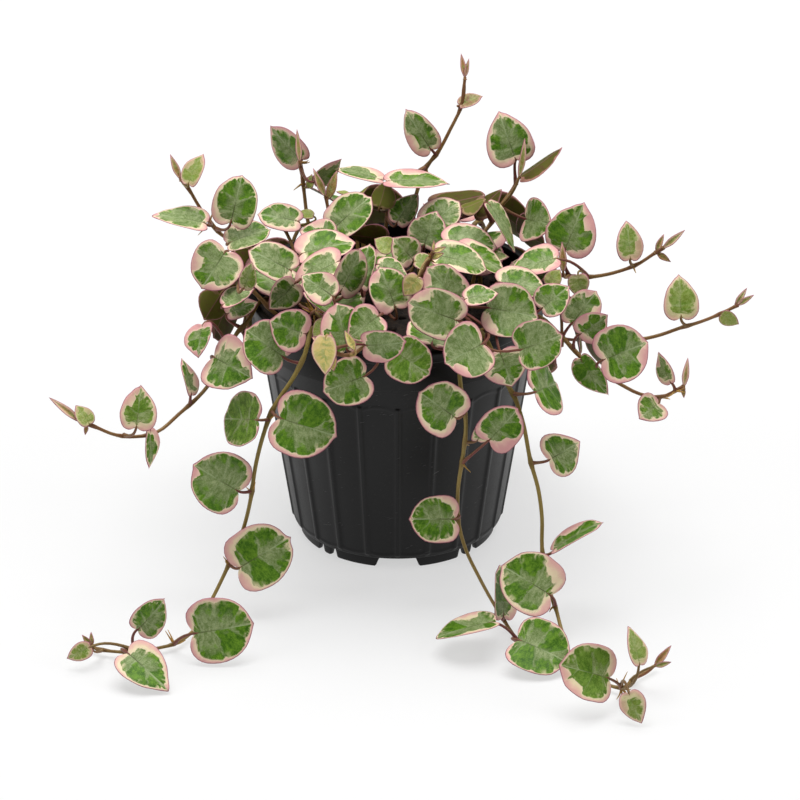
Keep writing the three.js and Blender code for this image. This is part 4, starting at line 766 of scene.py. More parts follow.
print(len(leaf.tree.nodes), "nodes with the band")

# %% [markdown]
# A young leaf is one warm tint with a little green along its veins. The underside is olive and purple,
# with a pinkish rim where the upper side is pale.

# %% Young leaves and the underside
young = leaf.mix(leaf.step(finger + blotch * 0.5, 0.68, 0.84) * (1 - reach) * 0.7, tint, GREEN_LIGHT)
young = leaf.mix(leaf.step(edge / band, 0.5, 0.15) * 0.7, young, PINK)
young = leaf.mix(leaf.step(shade, 0.4, 0.66) * 0.3, young, CREAM)
young = leaf.mix(line * 0.9, young, MARGIN)
top = leaf.mix(youth, top, young)

lower = leaf.mix(leaf.step(blotch + (finger - 0.5) * 0.4, 0.48, 0.72), UNDER_OLIVE, UNDER_PURPLE)
lower = leaf.mix(leaf.step(shade, 0.4, 0.7) * 0.3, lower, GREEN_DARK)
rim_share = leaf.step(edge - width * 0.7, 0.3, -0.5) * (0.25 + 0.6 * rosy)
lower = leaf.mix(rim_share, lower, UNDER_RIM)
lower = leaf.mix((midrib * 0.5).larger(line * 0.8), lower, MARGIN)
lower = leaf.mix(youth * 0.7, lower, tint)
leaf.colour(leaf.mix(under, top, lower))
leaf.rough(0.42 + 0.14 * grain + 0.12 * under)
leaf.bump(shade * 0.4 + finger * 0.4 + blotch, 0.00018, 0.6)
print("leaf finish has", len(leaf.tree.nodes), "nodes")

# %% [markdown]
# Stems and petioles are smooth, round and faintly streaked along their length. The pale streaks are
# partly the stems' own streaking and partly a painted highlight, in the colour of light on a glossy stem.
# Old stems are olive to yellow-brown and turn maroon towards the young end, and the joints are darker and
# a little rough. The colour of each ring is stored on the mesh, and the finish only adds the streaks.

# %% Stem finish
stem = Finish("stem", IOR=1.42, Specular_IOR_Level=0.3)
x, y, run = stem.split(stem.attribute("place"))
streak_and_highlight = stem.noise(stem.vector(x * 1.4, y * 1.4, run * 0.12), 1.0, 3.0, 0.6)
speck = stem.noise(stem.vector(x, y, run * 0.8), 2.2, 2.0)
bark = stem.attribute("bark", "Color")
knot = stem.attribute("bark", "Alpha")
# the pale streaks are partly the stem's own streaking and partly a painted highlight
colour = stem.mix(stem.step(streak_and_highlight, 0.4, 0.7) * 0.45, bark, paint(160, 142, 88))
colour = stem.mix(stem.step(speck, 0.55, 0.75) * 0.45, colour, paint(74, 46, 36))
stem.colour(stem.mix(knot * 0.7, colour, paint(84, 44, 38)))
stem.rough(0.34 + 0.25 * speck + 0.15 * knot)
stem.bump(streak_and_highlight + speck * 0.5 + knot, 0.00015, 0.5)
print("stem finish has", len(stem.tree.nodes), "nodes")

# %% [markdown]
# ## The form of a leaf
#
# One half of the outline is a short row of points from the notch where the petiole joins, round the
# lobe, to the tip. A smooth curve runs through them, and straight spokes join it to the midrib the way
# the side veins run. The blade curves over the same cup and droop as the solid one, so it stays where
# the solid is. It is thickest in the middle and rounds off to the margin. A real leaf isn't perfect:
# each outline is a little uneven and each margin has its own slow wave.

# %% The outline
HEART = [(0, 0), (-0.06, 0.14), (-0.11, 0.38), (-0.08, 0.66), (0.05, 0.90), (0.25, 1), (0.47, 0.99),
         (0.67, 0.88), (0.82, 0.66), (0.915, 0.38), (0.958, 0.15), (1, 0)]
POINTED = [(0, 0), (-0.05, 0.15), (-0.08, 0.40), (-0.03, 0.72), (0.10, 0.94), (0.29, 1), (0.49, 0.92),
           (0.67, 0.72), (0.81, 0.46), (0.90, 0.25), (0.96, 0.09), (1, 0)]
YOUNG_HEART = [(0, 0), (-0.05, 0.22), (-0.05, 0.52), (0.10, 0.87), (0.34, 1),
               (0.58, 0.86), (0.80, 0.50), (0.93, 0.18), (1, 0)]
BUD = [(0, 0), (0.02, 0.3), (0.12, 0.65), (0.33, 1), (0.60, 0.80), (0.84, 0.38), (1, 0)]
SPOKES = np.array([0, 0.09, 0.3, 0.52, 0.72, 0.87, 0.96, 1])
RIB_BUNCHING = 1.8       # side veins leave the midrib closer together near the base
TOP_LIFT, UNDER_LIFT, ROUNDING = 0.35, 0.27, 5
TAPER = 0.15             # a blade thins over this share of its midrib at both ends
KEEL_HALF, KEEL_FADE, KEEL_TOP, KEEL_UNDER = 0.6, 0.7, 0.16, 0.3
QUILT, QUILT_PHASE = 0.15, 0.2
WAVE, WAVE_TURNS, UNEVEN, BUD_FOLD = 0.018, (1.1, 1.9), 0.014, 0.45
NOTCH = 0.1              # this share of the outline belongs to the notch, which has no pale band


def half_outline(control, blade, dice, side):
    """Points of one half of the margin in the blade's plane, in millimetres."""
    control = np.array(control, float)
    uneven = dice.normal(0, UNEVEN, (len(control), 2)) * (0.35, 1)
    uneven[[0, -1]] = 0
    control = control + uneven * (1, control[:, 1:].max())
    control[:, 1] = np.abs(control[:, 1]) * side
    flat = np.zeros((len(control), 3))
    flat[:, :2] = control * (blade.length, blade.half)
    return smooth(flat, per_gap=2)[:, :2]


def edge_distance(points, halves):
    """The distance in millimetres from each point to the margin, apart from its notch."""
    margins = [half[math.ceil(NOTCH * len(half)):] for half in halves]
    start = np.vstack([margin[:-1] for margin in margins])
    run = np.vstack([np.diff(margin, axis=0) for margin in margins])
    reach = points[:, None, :] - start[None]
    share = np.clip((reach * run).sum(2) / np.maximum((run * run).sum(1), 1e-9), 0, 1)
    return np.linalg.norm(reach - share[..., None] * run, axis=2).min(1)


# %% [markdown]
# Both faces of a blade are one net, with rows along the midrib and columns out to the margin, which the
# two share. The net is laid out flat. Then its heights are added up: the cup and droop, the thickness,
# the groove of the midrib, the quilting between the veins and the slow wave of the margin.

# %% The net of a blade
def blade_faces(rows):
    """Faces of both layers of a blade. Its two layers share the points of the margin."""
    inner, columns = rows - 1, len(SPOKES)
    layer_size = inner * (2 * columns - 3)

    def index(layer, side, row, column):
        if row in (0, rows):
            return int(row == rows)
        if column == columns - 1:
            return 2 + side * inner + row - 1
        first = 2 + 2 * inner + layer * layer_size
        if column == 0:
            return first + row - 1
        return first + inner + (side * (columns - 2) + column - 1) * inner + row - 1

    faces = []
    for layer in (0, 1):
        for side in (0, 1):
            for row in range(rows):
                for column in range(columns - 1):
                    around = [(row, column), (row + 1, column), (row + 1, column + 1), (row, column + 1)]
                    face = list(dict.fromkeys(index(layer, side, *at) for at in around))
                    faces.append(face if layer == side else face[::-1])
    return faces


FACES = {rows: blade_faces(rows) for rows in (12, 16, 22)}
print({rows: len(faces) for rows, faces in FACES.items()}, "faces by rows of a blade")


# %% The mesh of a blade
def blade_plan(halves, length, rows):
    """Each point in the blade's plane, its place among the veins, and its layer: 1 is the upper one."""
    t = np.arange(1, rows) / rows
    rib = np.stack([t ** RIB_BUNCHING * length, np.zeros(rows - 1)], axis=1)
    rims = [half[1:-1] for half in halves]
    inner, inner_veins = [rib], [np.stack([t, t * 0], 1)]
    for rim, side in zip(rims, (1, -1)):
        inner += [rib + (rim - rib) * share for share in SPOKES[1:-1]]
        inner_veins += [np.stack([t, t * 0 + side * share], 1) for share in SPOKES[1:-1]]
    ends = [np.array([[0, 0], [length, 0]]), *rims]
    end_veins = [np.array([[0, 0], [1, 0]]), np.stack([t, t * 0 + 1], 1), np.stack([t, t * 0 - 1], 1)]
    flat, vein = np.vstack(ends + inner * 2), np.vstack(end_veins + inner_veins * 2)
    layer = np.zeros(len(flat))
    layer_count = (len(flat) - 2 * rows) // 2
    layer[2 * rows:2 * rows + layer_count] = 1
    layer[2 * rows + layer_count:] = -1
    return flat, vein, layer


def blade_mesh(blade, pointed, dice):
    """Points of a leaf's blade, its faces and what each point knows."""
    old_heart = POINTED if pointed else HEART
    control = BUD if blade.bud else YOUNG_HEART if blade.young else old_heart
    rows = 2 * (len(control) - 1)
    halves = [half_outline(control, blade, dice, side) for side in (1, -1)]
    flat, vein, layer = blade_plan(halves, blade.length, rows)
    y, along, out = flat[:, 1], vein[:, 0], np.abs(vein[:, 1])
    taper = np.sqrt(np.clip(np.minimum(along, 1 - along) / TAPER, 0, 1))
    profile = np.sqrt(1 - out ** ROUNDING) * taper
    lift = np.where(layer > 0, TOP_LIFT, -UNDER_LIFT) * profile * (layer != 0)
    keel = np.exp(-(y / KEEL_HALF) ** 2) * taper * (1 - KEEL_FADE * along)
    lift -= keel * np.where(layer > 0, KEEL_TOP, KEEL_UNDER) * (layer != 0)
    quilt = QUILT * np.cos(2 * math.pi * (SECTORS * along + QUILT_PHASE)) * 4 * out * (1 - out)
    phase, turns = dice.uniform(0, 1), dice.uniform(*WAVE_TURNS)
    wave = WAVE * blade.length * np.sin(2 * math.pi * (turns * along * np.sign(vein[:, 1]) + phase))
    fold = BUD_FOLD * np.abs(y) if blade.bud else 0
    relief = blade.relief(flat[:, 0] / blade.length, y)
    height = relief + lift + quilt * (layer > 0) + wave * out ** 2 + fold
    points = (blade.base + np.outer(flat[:, 0], blade.along) + np.outer(y, blade.across)
              + np.outer(height, blade.normal))
    seed = dice.integers(0, 90) + 0.5
    return points, FACES[rows], {
        "place": np.column_stack([flat, np.full(len(flat), seed)]),
        "vein": np.column_stack([vein, edge_distance(flat, halves)]),
        "under": (layer < 0) * 1.0,
    }


# %% [markdown]
# ## Stems and petioles
#
# A stem is a round tube that follows the solid's path and thickens where a leaf grows out. A petiole
# bends out of it and runs a short way under its leaf as the start of the midrib. At the joints of the
# older stems stand short brown hooks, the dry remains of fallen leaves and flowers.

# %% Tubes
END_BULGE, CLEARANCE = 0.6, 0.1
PETIOLE_UNDER = (0.05, 0.1, 0.16)     # a petiole runs on under its blade to the last of these shares


def quad(low, high, k, sides):
    """The face from point k to the next one, between two rings whose points start at low and high."""
    after = (k + 1) % sides
    return [low + k, low + after, high + after, high + k]


def capped_faces(rows, sides):
    """Faces of a row of rings with a point at each end. Point 0 comes first and the other one last."""
    faces, last = [], 1 + rows * sides
    for k in range(sides):
        after = (k + 1) % sides
        faces.append([0, 1 + after, 1 + k])
        faces += [quad(1 + row * sides, 1 + (row + 1) * sides, k, sides) for row in range(rows - 1)]
        faces.append([last, last - sides + k, last - sides + after])
    return faces


def tube(path, radii, sides):
    """Points and faces of a round tube with rounded ends, and each point's place along it."""
    path = np.column_stack([path[:, :2], np.maximum(path[:, 2], radii + CLEARANCE)])
    ahead = np.gradient(path, axis=0)
    ahead /= np.linalg.norm(ahead, axis=1)[:, None]
    run = np.concatenate([[0], np.cumsum(np.linalg.norm(np.diff(path, axis=0), axis=1))])
    side = unit(np.cross(ahead[0], RIGHT if abs(ahead[0][0]) < 0.8 else UP))
    angles = 2 * math.pi * np.arange(sides) / sides
    ring = np.column_stack([np.cos(angles), np.sin(angles)])
    points, places = [path[0] - ahead[0] * radii[0] * END_BULGE], [(0, 0, 0)]
    for centre, way, radius, far in zip(path, ahead, radii, run):
        side = unit(side - way * np.dot(side, way))
        basis = np.array([side, np.cross(way, side)])
        points += list(centre + ring @ basis * radius)
        places += [(x, y, far) for x, y in ring]
    points.append(path[-1] + ahead[-1] * radii[-1] * END_BULGE)
    places.append((0, 0, run[-1]))
    return np.array(points), capped_faces(len(path), sides), np.array(places)


def petiole_line(start, hinge, blade):
    """From inside the stem, round the hinge, to the blade's base and a little way under it."""
    t = np.linspace(0, 1, 9)[:, None]
    curve = start * (1 - t) ** 2 + hinge * (2 * t * (1 - t)) + blade.base * t ** 2
    under = []
    for share in PETIOLE_UNDER:
        sink = UNDER_LIFT * 0.8 * share / PETIOLE_UNDER[-1]
        under.append(blade.base + blade.along * (share * blade.length)
                     + blade.normal * (blade.relief(share, 0) - sink))
    return np.vstack([curve, under])


def hook_line(node, way, length, dice):
    """A short hook that leaves the stem sideways and bends over."""
    bend = unit(dice.normal(0, 1, 3) + UP * 0.8)
    t = np.linspace(0, 1, 6)[:, None]
    return node + way * (length * t) + bend * (0.45 * length * t ** 2)


print("a petiole runs on under", PETIOLE_UNDER[-1], "of its blade")


# %% [markdown]
# One class gathers the stem, petioles, leaves and hooks of a vine into one mesh. Every point carries the
# five attributes that the two finishes read, and a face is either leaf or stem. The pot and its mix are
# gathered in the same way later, without attributes.

# %% Gathering a piece
ATTRIBUTES = {"place": 3, "vein": 3, "nature": 4, "youth": 4, "bark": 4}


class Gathering:
    """One piece in the making: its points, its faces and what each point knows."""

    def __init__(self, name, attributes):
        self.name, self.attributes, self.count = name, attributes, 0
        self.points, self.faces, self.materials = [], [], []
        self.known = {key: [] for key in attributes}

    def add(self, points, faces, material=0, **known):
        self.points.append(points)
        self.faces += [[self.count + i for i in face] for face in faces]
        self.materials += [material] * len(faces)
        self.count += len(points)
        for key, width in self.attributes.items():
            values = np.zeros((len(points), width))
            values[:] = known.get(key, 0)
            self.known[key].append(values)

    def piece(self, node, materials, slot):
        """Makes the mesh object, which stands for the node of the solid model."""
        mesh = bpy.data.meshes.new(self.name)
        mesh.from_pydata((np.vstack(self.points) * MM).tolist(), [], self.faces)
        for key, width in self.attributes.items():
            kind, field = ("FLOAT_VECTOR", "vector") if width == 3 else ("FLOAT_COLOR", "color")
            values = np.vstack(self.known[key]).astype(np.float32).ravel()
            mesh.attributes.new(key, kind, "POINT").data.foreach_set(field, values)
        for material in materials:
            mesh.materials.append(material)
        mesh.polygons.foreach_set("material_index", self.materials)
        mesh.polygons.foreach_set("use_smooth", [True] * len(mesh.polygons))
        mesh.update()
        piece = add_object(self.name, mesh)
        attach(piece, "root")
        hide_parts(node)
        return piece


print("a point of the plant carries", sum(ATTRIBUTES.values()), "numbers")

# %% [markdown]
# ## Growing the plant
#
# Leaves high in the crown are more silver and those on the trails are a clearer green. Young leaves are
# smaller, yellow-green to orange, and buds are orange-brown. These few numbers are kept together here,
# so the plant's mood can be changed in one place.

# %% Colours and sizes of the plant
OLD_STEM, YOUNG_STEM, TRAIL_STEM, TRAIL_END = np.array([
    paint(132, 108, 54), paint(134, 88, 58), paint(150, 132, 66), paint(126, 98, 56)])
PETIOLE, HOOK, *BUD_TINTS = np.array([
    paint(112, 54, 54), paint(176, 132, 62), paint(132, 124, 56), paint(172, 112, 66)])
FRESH_TINT, YOUNG_TINT, BROWN_TINT = paint(222, 200, 118), paint(146, 158, 66), paint(150, 112, 84)
FRESH_VINES = ("vine_front_shoot", "vine_middle_shoot")
POINTED_VINES = ("vine_top", "vine_top_left", "vine_upper_right", "vine_right_upper_arm",
                 "vine_right_arm", "vine_left_long")
POINTED_LEAVES = (("vine_upper_left", 0), ("vine_right_lower", 1), ("vine_right_lower", 4),
                  ("vine_right_lower", 5), ("vine_front_left_trail", 6), ("vine_front_left_trail", 7))
SILVER_CROWN, SILVER_TRAIL, SILVER_SPREAD = 0.68, 0.44, (0.7, 1.25)
BAND_CROWN, BAND_TRAIL, BAND_FULL, BAND_THIN = (1.4, 3.1), (2.1, 3.9), 0.88, 0.4
CROWN_LOW, CROWN_RADIUS = POT_HEIGHT - 8, 75
ODD_LEAVES = {            # a few leaves differ: how silver, how wide the band, the young tint, the youth
    ("vine_front_left_trail", 2): (0.2, 0.5, BROWN_TINT, 0.1),
    ("crown_front", 2): (0.25, 0.9, YOUNG_TINT, 0.1),
    ("vine_front_shoot", 3): (0.4, 2.4, FRESH_TINT, 0.85),
    ("vine_front_shoot", 5): (0.8, 2.2, YOUNG_TINT, 0.0),
    ("vine_middle_shoot", 3): (0.4, 1.6, FRESH_TINT, 0.7),
    ("vine_middle_shoot", 4): (0.7, 1.6, YOUNG_TINT, 0.0),
    ("vine_middle_shoot", 5): (0.8, 1.8, YOUNG_TINT, 0.0),
    ("vine_top", 1): (0.3, 1.2, BROWN_TINT, 0.85),
    ("vine_upper_left", 1): (0.3, 2.2, YOUNG_TINT, 0.6),
    ("vine_left_long", 3): (0.3, 2.6, YOUNG_TINT, 0.2),
    ("vine_right_lower", 1): (0.3, 0.6, YOUNG_TINT, 0.0),
    ("vine_right_lower", 4): (0.4, 2.4, YOUNG_TINT, 0.1),
    ("vine_right_upper_arm", 0): (0.3, 2.4, YOUNG_TINT, 0.45),
    ("vine_right_arm", 0): (0.3, 2.6, YOUNG_TINT, 0.45),
    ("vine_front_middle_trail", 4): (0.4, 0.8, YOUNG_TINT, 0.0),
    ("vine_front_right_trail", 2): (0.2, 1.6, YOUNG_TINT, 0.0),
    ("vine_front_right_trail", 4): (0.1, 2.4, YOUNG_TINT, 0.15),
    ("vine_front_right_trail", 5): (0.3, 2.4, YOUNG_TINT, 0.5),
    ("vine_front_right_trail", 6): (0.2, 2.6, YOUNG_TINT, 0.4),
}
STEM_RADII, PETIOLE_RADII = (0.86, 0.56), (0.6, 0.48, 0.22)
STEM_SIDES, PETIOLE_SIDES, HOOK_SIDES = 10, 7, 6
SWELLING, SWELLING_REACH = 0.42, 1.7
FOOT_SWELLING, FOOT_SHARE = 0.5, 0.12
SMALL_LEAF, SMALL_PETIOLE = 9, 0.75
HOOKED_TRAIL, HOOKED_SHOOT, HOOK_LENGTH, HOOK_RADII = 0.75, 0.35, (2.8, 4.8), (0.5, 0.12)
SESSILE = 3.5            # a blade that starts this near the stem sits right on it
LEAF_CLEARANCE = 0.05


# %% Leaves
def leaf_nature(blade, vine, number, dice):
    """How silver a leaf is, how wide its pale band is, its young tint and its youth."""
    in_crown = blade.base[2] > CROWN_LOW and np.hypot(*blade.base[:2]) < CROWN_RADIUS
    silver = (SILVER_CROWN if in_crown else SILVER_TRAIL) * dice.uniform(*SILVER_SPREAD)
    band = dice.uniform(*(BAND_CROWN if in_crown else BAND_TRAIL)) * min(1, blade.length / 18)
    band *= 1 if dice.uniform() < BAND_FULL else BAND_THIN
    fresh = vine.name in FRESH_VINES
    tint = FRESH_TINT if fresh else YOUNG_TINT
    if blade.bud:
        bud_tint = tuple(mix(*BUD_TINTS, dice.uniform()))
        return silver, band, tint if fresh else bud_tint, 0.95
    youth = float(np.clip((12 - blade.length) / 6, 0, 0.8))
    return ODD_LEAVES.get((vine.name, number), (silver, band, tint, youth))


def add_leaf(growth, blade, way, vine, number, dice):
    """Adds a leaf's blade, with the clearance it needs over the surface, and then its petiole."""
    pointed = vine.name in POINTED_VINES or (vine.name, number) in POINTED_LEAVES
    points, faces, known = blade_mesh(blade, pointed, dice)
    share = np.clip(known["place"][:, 0] / blade.length, 0.1, 1)
    points[:, 2] += share * max(0, ((LEAF_CLEARANCE - points[:, 2]) / share).max())
    silver, band, tint, youth = leaf_nature(blade, vine, number, dice)
    nature = np.column_stack([np.full(len(points), silver), known["under"],
                              np.full((len(points), 2), (band, 1.0))])
    growth.add(points, faces, place=known["place"], vein=known["vein"], nature=nature,
               youth=(*tint, youth))
    start, hinge, _ = way
    beside = vine.line[np.linalg.norm(vine.line - blade.base, axis=1).argmin()]
    gap = np.linalg.norm(beside - blade.base)
    if gap < SESSILE:
        start = beside if gap > 1 else blade.base - blade.along
        hinge = (start + blade.base) / 2
    line = petiole_line(start, hinge, blade)
    share = np.linspace(0, 1, len(line))
    thick = SMALL_PETIOLE if blade.length < SMALL_LEAF else 1.0
    radii = np.interp(share, (0, 0.7, 1), PETIOLE_RADII) * thick
    radii *= 1 + FOOT_SWELLING * np.exp(-(share / FOOT_SHARE) ** 2)
    points, faces, places = tube(line, radii, PETIOLE_SIDES)
    colour = mix(PETIOLE, np.array(tint), 0.5 * youth)
    growth.add(points, faces, 1, place=places, bark=(*colour, 0.0))


# %% Every vine
def add_hooks(growth, blade, node, dice):
    """Adds one to three dry hooks at a leaf's joint."""
    for _ in range(dice.integers(1, 4)):
        side = unit(np.cross(unit(blade.base - node), dice.normal(0, 1, 3)))
        hook = hook_line(node, side, dice.uniform(*HOOK_LENGTH), dice)
        points, faces, places = tube(hook, np.linspace(*HOOK_RADII, len(hook)), HOOK_SIDES)
        growth.add(points, faces, 1, place=places, bark=(*HOOK, 0.0))


def grow_vine(vine, dice):
    """Makes one vine's piece: its stem, then its leaves in order, each with its own hooks."""
    growth = Gathering("growth_" + vine.name, ATTRIBUTES)
    line = vine.line
    starts = np.array([way[0] for _, way in vine.leaves])
    gaps = np.linalg.norm(line[:, None] - starts[None], axis=2).min(1) if len(starts) else line[:, 0] + 99
    knots = np.exp(-(gaps / SWELLING_REACH) ** 2)
    share = np.linspace(0, 1, len(line))
    points, faces, places = tube(line, mix(*STEM_RADII, share) * (1 + SWELLING * knots), STEM_SIDES)
    trail = "trail" in vine.name
    young, old = (TRAIL_END, TRAIL_STEM) if trail else (YOUNG_STEM, OLD_STEM)
    rings = np.concatenate([[0], np.repeat(np.arange(len(line)), STEM_SIDES), [len(line) - 1]])
    bark = mix(old, young, share[rings][:, None] ** 1.3)
    growth.add(points, faces, 1, place=places, bark=np.column_stack([bark, 0.6 * knots[rings]]))
    for number, (blade, way) in enumerate(vine.leaves):
        add_leaf(growth, blade, way, vine, number, dice)
        if not blade.bud and dice.uniform() < (HOOKED_TRAIL if trail else HOOKED_SHOOT):
            add_hooks(growth, blade, way[0], dice)
    return growth.piece(vine.name, [leaf.material, stem.material], "leaf_and_stem")


dice = np.random.default_rng(41)
grown = [grow_vine(vine, dice) for vine in vines]
print(len(grown), "vines,", sum(len(piece.data.polygons) for piece in grown), "faces")

# %% [markdown]
# ## The pot
#
# A nursery pot is thin black plastic, moulded in one piece. Its wall leans out, stiffened by narrow
# ribs whose ends run into each other in flat arches. A plain band and a lip finish the top. Below the
# wall stands an inset foot ring, notched so that water can run out from under it. The whole pot is one
# turned profile, and only its outer radius and the foot's lower edge change on the way round.

# %% Sizes of the pot
LIP_RADIUS, LIP_HEIGHT, LIP_EDGE = 54.0, 4.0, 0.7
BAND_BOTTOM, BAND_RADIUS = 79.0, 52.4
BODY_TOP_RADIUS, BODY_BOTTOM_RADIUS, BODY_BOTTOM = 49.4, 37.9, 4.5
FOOT_RADIUS, FOOT_WALL, WALL = 35.8, 1.6, 1.3
FLOOR_TOP, FLOOR_RADIUS, FLOOR_SEGMENTS, FLOOR_JOIN = 7.0, 33.0, 96, 0.05
RIBS, RIB_WIDTH, RIB_PROUD, RIB_BOTTOM, RIB_TOP = 22, 1.2, 0.6, 6.0, 71.0
ARCH_PROUD, ARCH_WIDTH, ARCH_RISE = 0.22, 0.55, 4.0
NOTCH_WIDE, NOTCH_NARROW, NOTCH_NARROW_AT, NOTCH_TOP, NOTCH_SLANT = 13.0, 2.5, 40.0, 3.5, 2.8
DRAINS, DRAIN_RADIUS, DRAIN_RING, DRAIN_DEPTH, DRAIN_SEGMENTS = 4, 4.5, 23.0, 12, 24
RIB_STEPS = (0.6, 0.85, 1.15, 1.6, 2.6, 4, 5.6, 7.2)    # degrees to either side of a rib
NOTCH_STEPS, NOTCH_EASE, CLOSEST = (0.8, 1.6, 2.4), 1.2, 0.12
SHARP_ANGLE = 38


# %% Ribs, notches and corners
def wall_radius(z):
    """The outer radius of the plain wall at a height."""
    return np.interp(z, (BODY_BOTTOM, BAND_BOTTOM), (BODY_BOTTOM_RADIUS, BODY_TOP_RADIUS))


def soft_step(x, low, high):
    """0 below low, 1 above high and smooth between them."""
    t = np.clip((x - low) / (high - low), 0, 1)
    return t * t * (3 - 2 * t)


def rib_relief(bearing, z):
    """How far the ribs and the arches between them stand proud of the wall, in millimetres."""
    pitch = 360 / RIBS
    turn = bearing % pitch - pitch / 2
    across = np.radians(np.abs(turn)) * wall_radius(z)
    ends = soft_step(z, RIB_BOTTOM - 0.9, RIB_BOTTOM + 0.3) * (1 - soft_step(z, RIB_TOP - 0.8, RIB_TOP))
    rib = RIB_PROUD * (1 - soft_step(across, RIB_WIDTH / 2 - 0.25, RIB_WIDTH / 2 + 0.85)) * ends
    share = np.abs(turn) / (pitch / 2)
    bow = np.sqrt(np.clip(1 - (1 - share) ** 2, 0, 1))
    top = RIB_TOP - ARCH_RISE + ARCH_RISE * bow
    foot = RIB_BOTTOM + 1.6 - 1.6 * bow
    arch = np.maximum(1 - soft_step(np.abs(z - top), ARCH_WIDTH * 0.4, ARCH_WIDTH * 1.6),
                      1 - soft_step(np.abs(z - foot), ARCH_WIDTH * 0.4, ARCH_WIDTH * 1.6))
    return np.maximum(rib, ARCH_PROUD * arch)


def foot_edge(bearing):
    """The height of the foot ring's lower edge at a bearing."""
    height = np.zeros_like(bearing)
    notches = (0, NOTCH_WIDE), (NOTCH_NARROW_AT, NOTCH_NARROW), (-NOTCH_NARROW_AT, NOTCH_NARROW)
    for quarter in range(0, 360, 90):
        for at, half in notches:
            turn = np.abs((bearing - quarter - at + 180) % 360 - 180)
            slant = min(NOTCH_SLANT, 0.7 * half)
            height = np.maximum(height, NOTCH_TOP * (1 - soft_step(turn, half - slant, half + 0.3)))
    return height


def both_ways(steps, middle=(0,)):
    """The steps to either side of a middle, in rising order."""
    return np.array([*(-step for step in reversed(steps)), *middle, *steps])


def pot_bearings():
    """Bearings in degrees, close together where the shape changes quickly."""
    pitch = 360 / RIBS
    rib_steps = both_ways(RIB_STEPS)
    around = [(i + 0.5) * pitch + rib_steps for i in range(RIBS)]
    around += [np.array([i * pitch]) for i in range(RIBS)]
    for quarter in range(0, 360, 90):
        for edge in both_ways((NOTCH_WIDE - NOTCH_EASE, NOTCH_NARROW_AT), []):
            around.append(quarter + edge + both_ways(NOTCH_STEPS))
    bearings = np.sort(np.concatenate(around) % 360)
    return bearings[np.concatenate([[True], np.diff(bearings) > CLOSEST])]


def corner(radius, z, size, start):
    """Five points of a rounded corner, from a start angle through a quarter turn."""
    angles = np.radians(start + np.linspace(0, 90, 5))
    return [(radius + size * math.cos(a), z + size * math.sin(a)) for a in angles]


print(len(pot_bearings()), "points on the way round the pot")


# %% [markdown]
# The profile is walked once, from the foot up the outside, over the lip and down the inside. Rows that
# belong to the ribbed wall are marked, and so are those of the foot's lower edge.

# %% Pot wall
def pot_rows():
    """Rows of the profile: radius, height and what the row is."""
    foot, rim, lip = FOOT_RADIUS - FOOT_WALL, BAND_RADIUS - WALL, LIP_RADIUS - LIP_EDGE
    floor_edge, lip_low = float(wall_radius(FLOOR_TOP)) - WALL, POT_HEIGHT - LIP_HEIGHT
    heights = np.concatenate([np.arange(4.9, 9, 0.35), np.arange(10, 64, 4.5),
                              np.arange(64.5, 72.5, 0.4), np.arange(73.5, BAND_BOTTOM, 1.5)])
    stretches = [
        ("plain", [(FLOOR_RADIUS, BODY_BOTTOM), (foot - 0.3, BODY_BOTTOM), (foot, BODY_BOTTOM - 0.3)]),
        ("foot", [(foot, 0.3), (foot + 0.3, 0.0), (FOOT_RADIUS - 0.4, 0.0), (FOOT_RADIUS - 0.1, 0.12),
                  (FOOT_RADIUS, 0.45)]),
        ("plain", [(FOOT_RADIUS, BODY_BOTTOM - 0.35), (FOOT_RADIUS + 0.3, BODY_BOTTOM),
                   (BODY_BOTTOM_RADIUS - 0.5, BODY_BOTTOM),
                   (BODY_BOTTOM_RADIUS - 0.1, BODY_BOTTOM + 0.15)]),
        ("wall", [(float(wall_radius(z)), float(z)) for z in heights]),
        ("plain", [(BODY_TOP_RADIUS, BAND_BOTTOM - 0.2), (BODY_TOP_RADIUS + 0.3, BAND_BOTTOM + 0.02),
                   (BAND_RADIUS - 0.5, BAND_BOTTOM + 0.5), (BAND_RADIUS - 0.1, BAND_BOTTOM + 0.75),
                   (BAND_RADIUS, BAND_BOTTOM + 1.2), (BAND_RADIUS, lip_low - 0.25),
                   (BAND_RADIUS + 0.2, lip_low),
                   *corner(lip, lip_low + LIP_EDGE, LIP_EDGE, -90),
                   *corner(lip, POT_HEIGHT - LIP_EDGE, LIP_EDGE, 0),
                   *corner(rim + 0.5, POT_HEIGHT - 0.5, 0.5, 90),
                   (rim, POT_HEIGHT - 2), (rim - 0.1, BAND_BOTTOM),
                   (BODY_TOP_RADIUS - WALL, BAND_BOTTOM - 1), (floor_edge + 0.3, FLOOR_TOP + 0.4),
                   (floor_edge - 0.4, FLOOR_TOP), (FLOOR_RADIUS, FLOOR_TOP)]),
    ]
    return [(radius, z, kind) for kind, stretch in stretches for radius, z in stretch]


def wall_mesh():
    """The whole pot but its floor plate: one ring of points for each row of the profile."""
    bearings = pot_bearings()
    edge = foot_edge(bearings)
    around = np.radians(bearings)
    rings = []
    for radius, z, kind in pot_rows():
        heights = np.full(len(bearings), z)
        radii = np.full(len(bearings), radius)
        if kind == "wall":
            radii = radii + rib_relief(bearings, z)
        elif kind == "foot":
            heights = heights + edge
        rings.append(np.column_stack([radii * np.cos(around), radii * np.sin(around), heights]))
    count, turns = len(rings), len(bearings)
    return np.vstack(rings), [quad(row * turns, (row + 1) % count * turns, k, turns)
                              for row in range(count) for k in range(turns)]


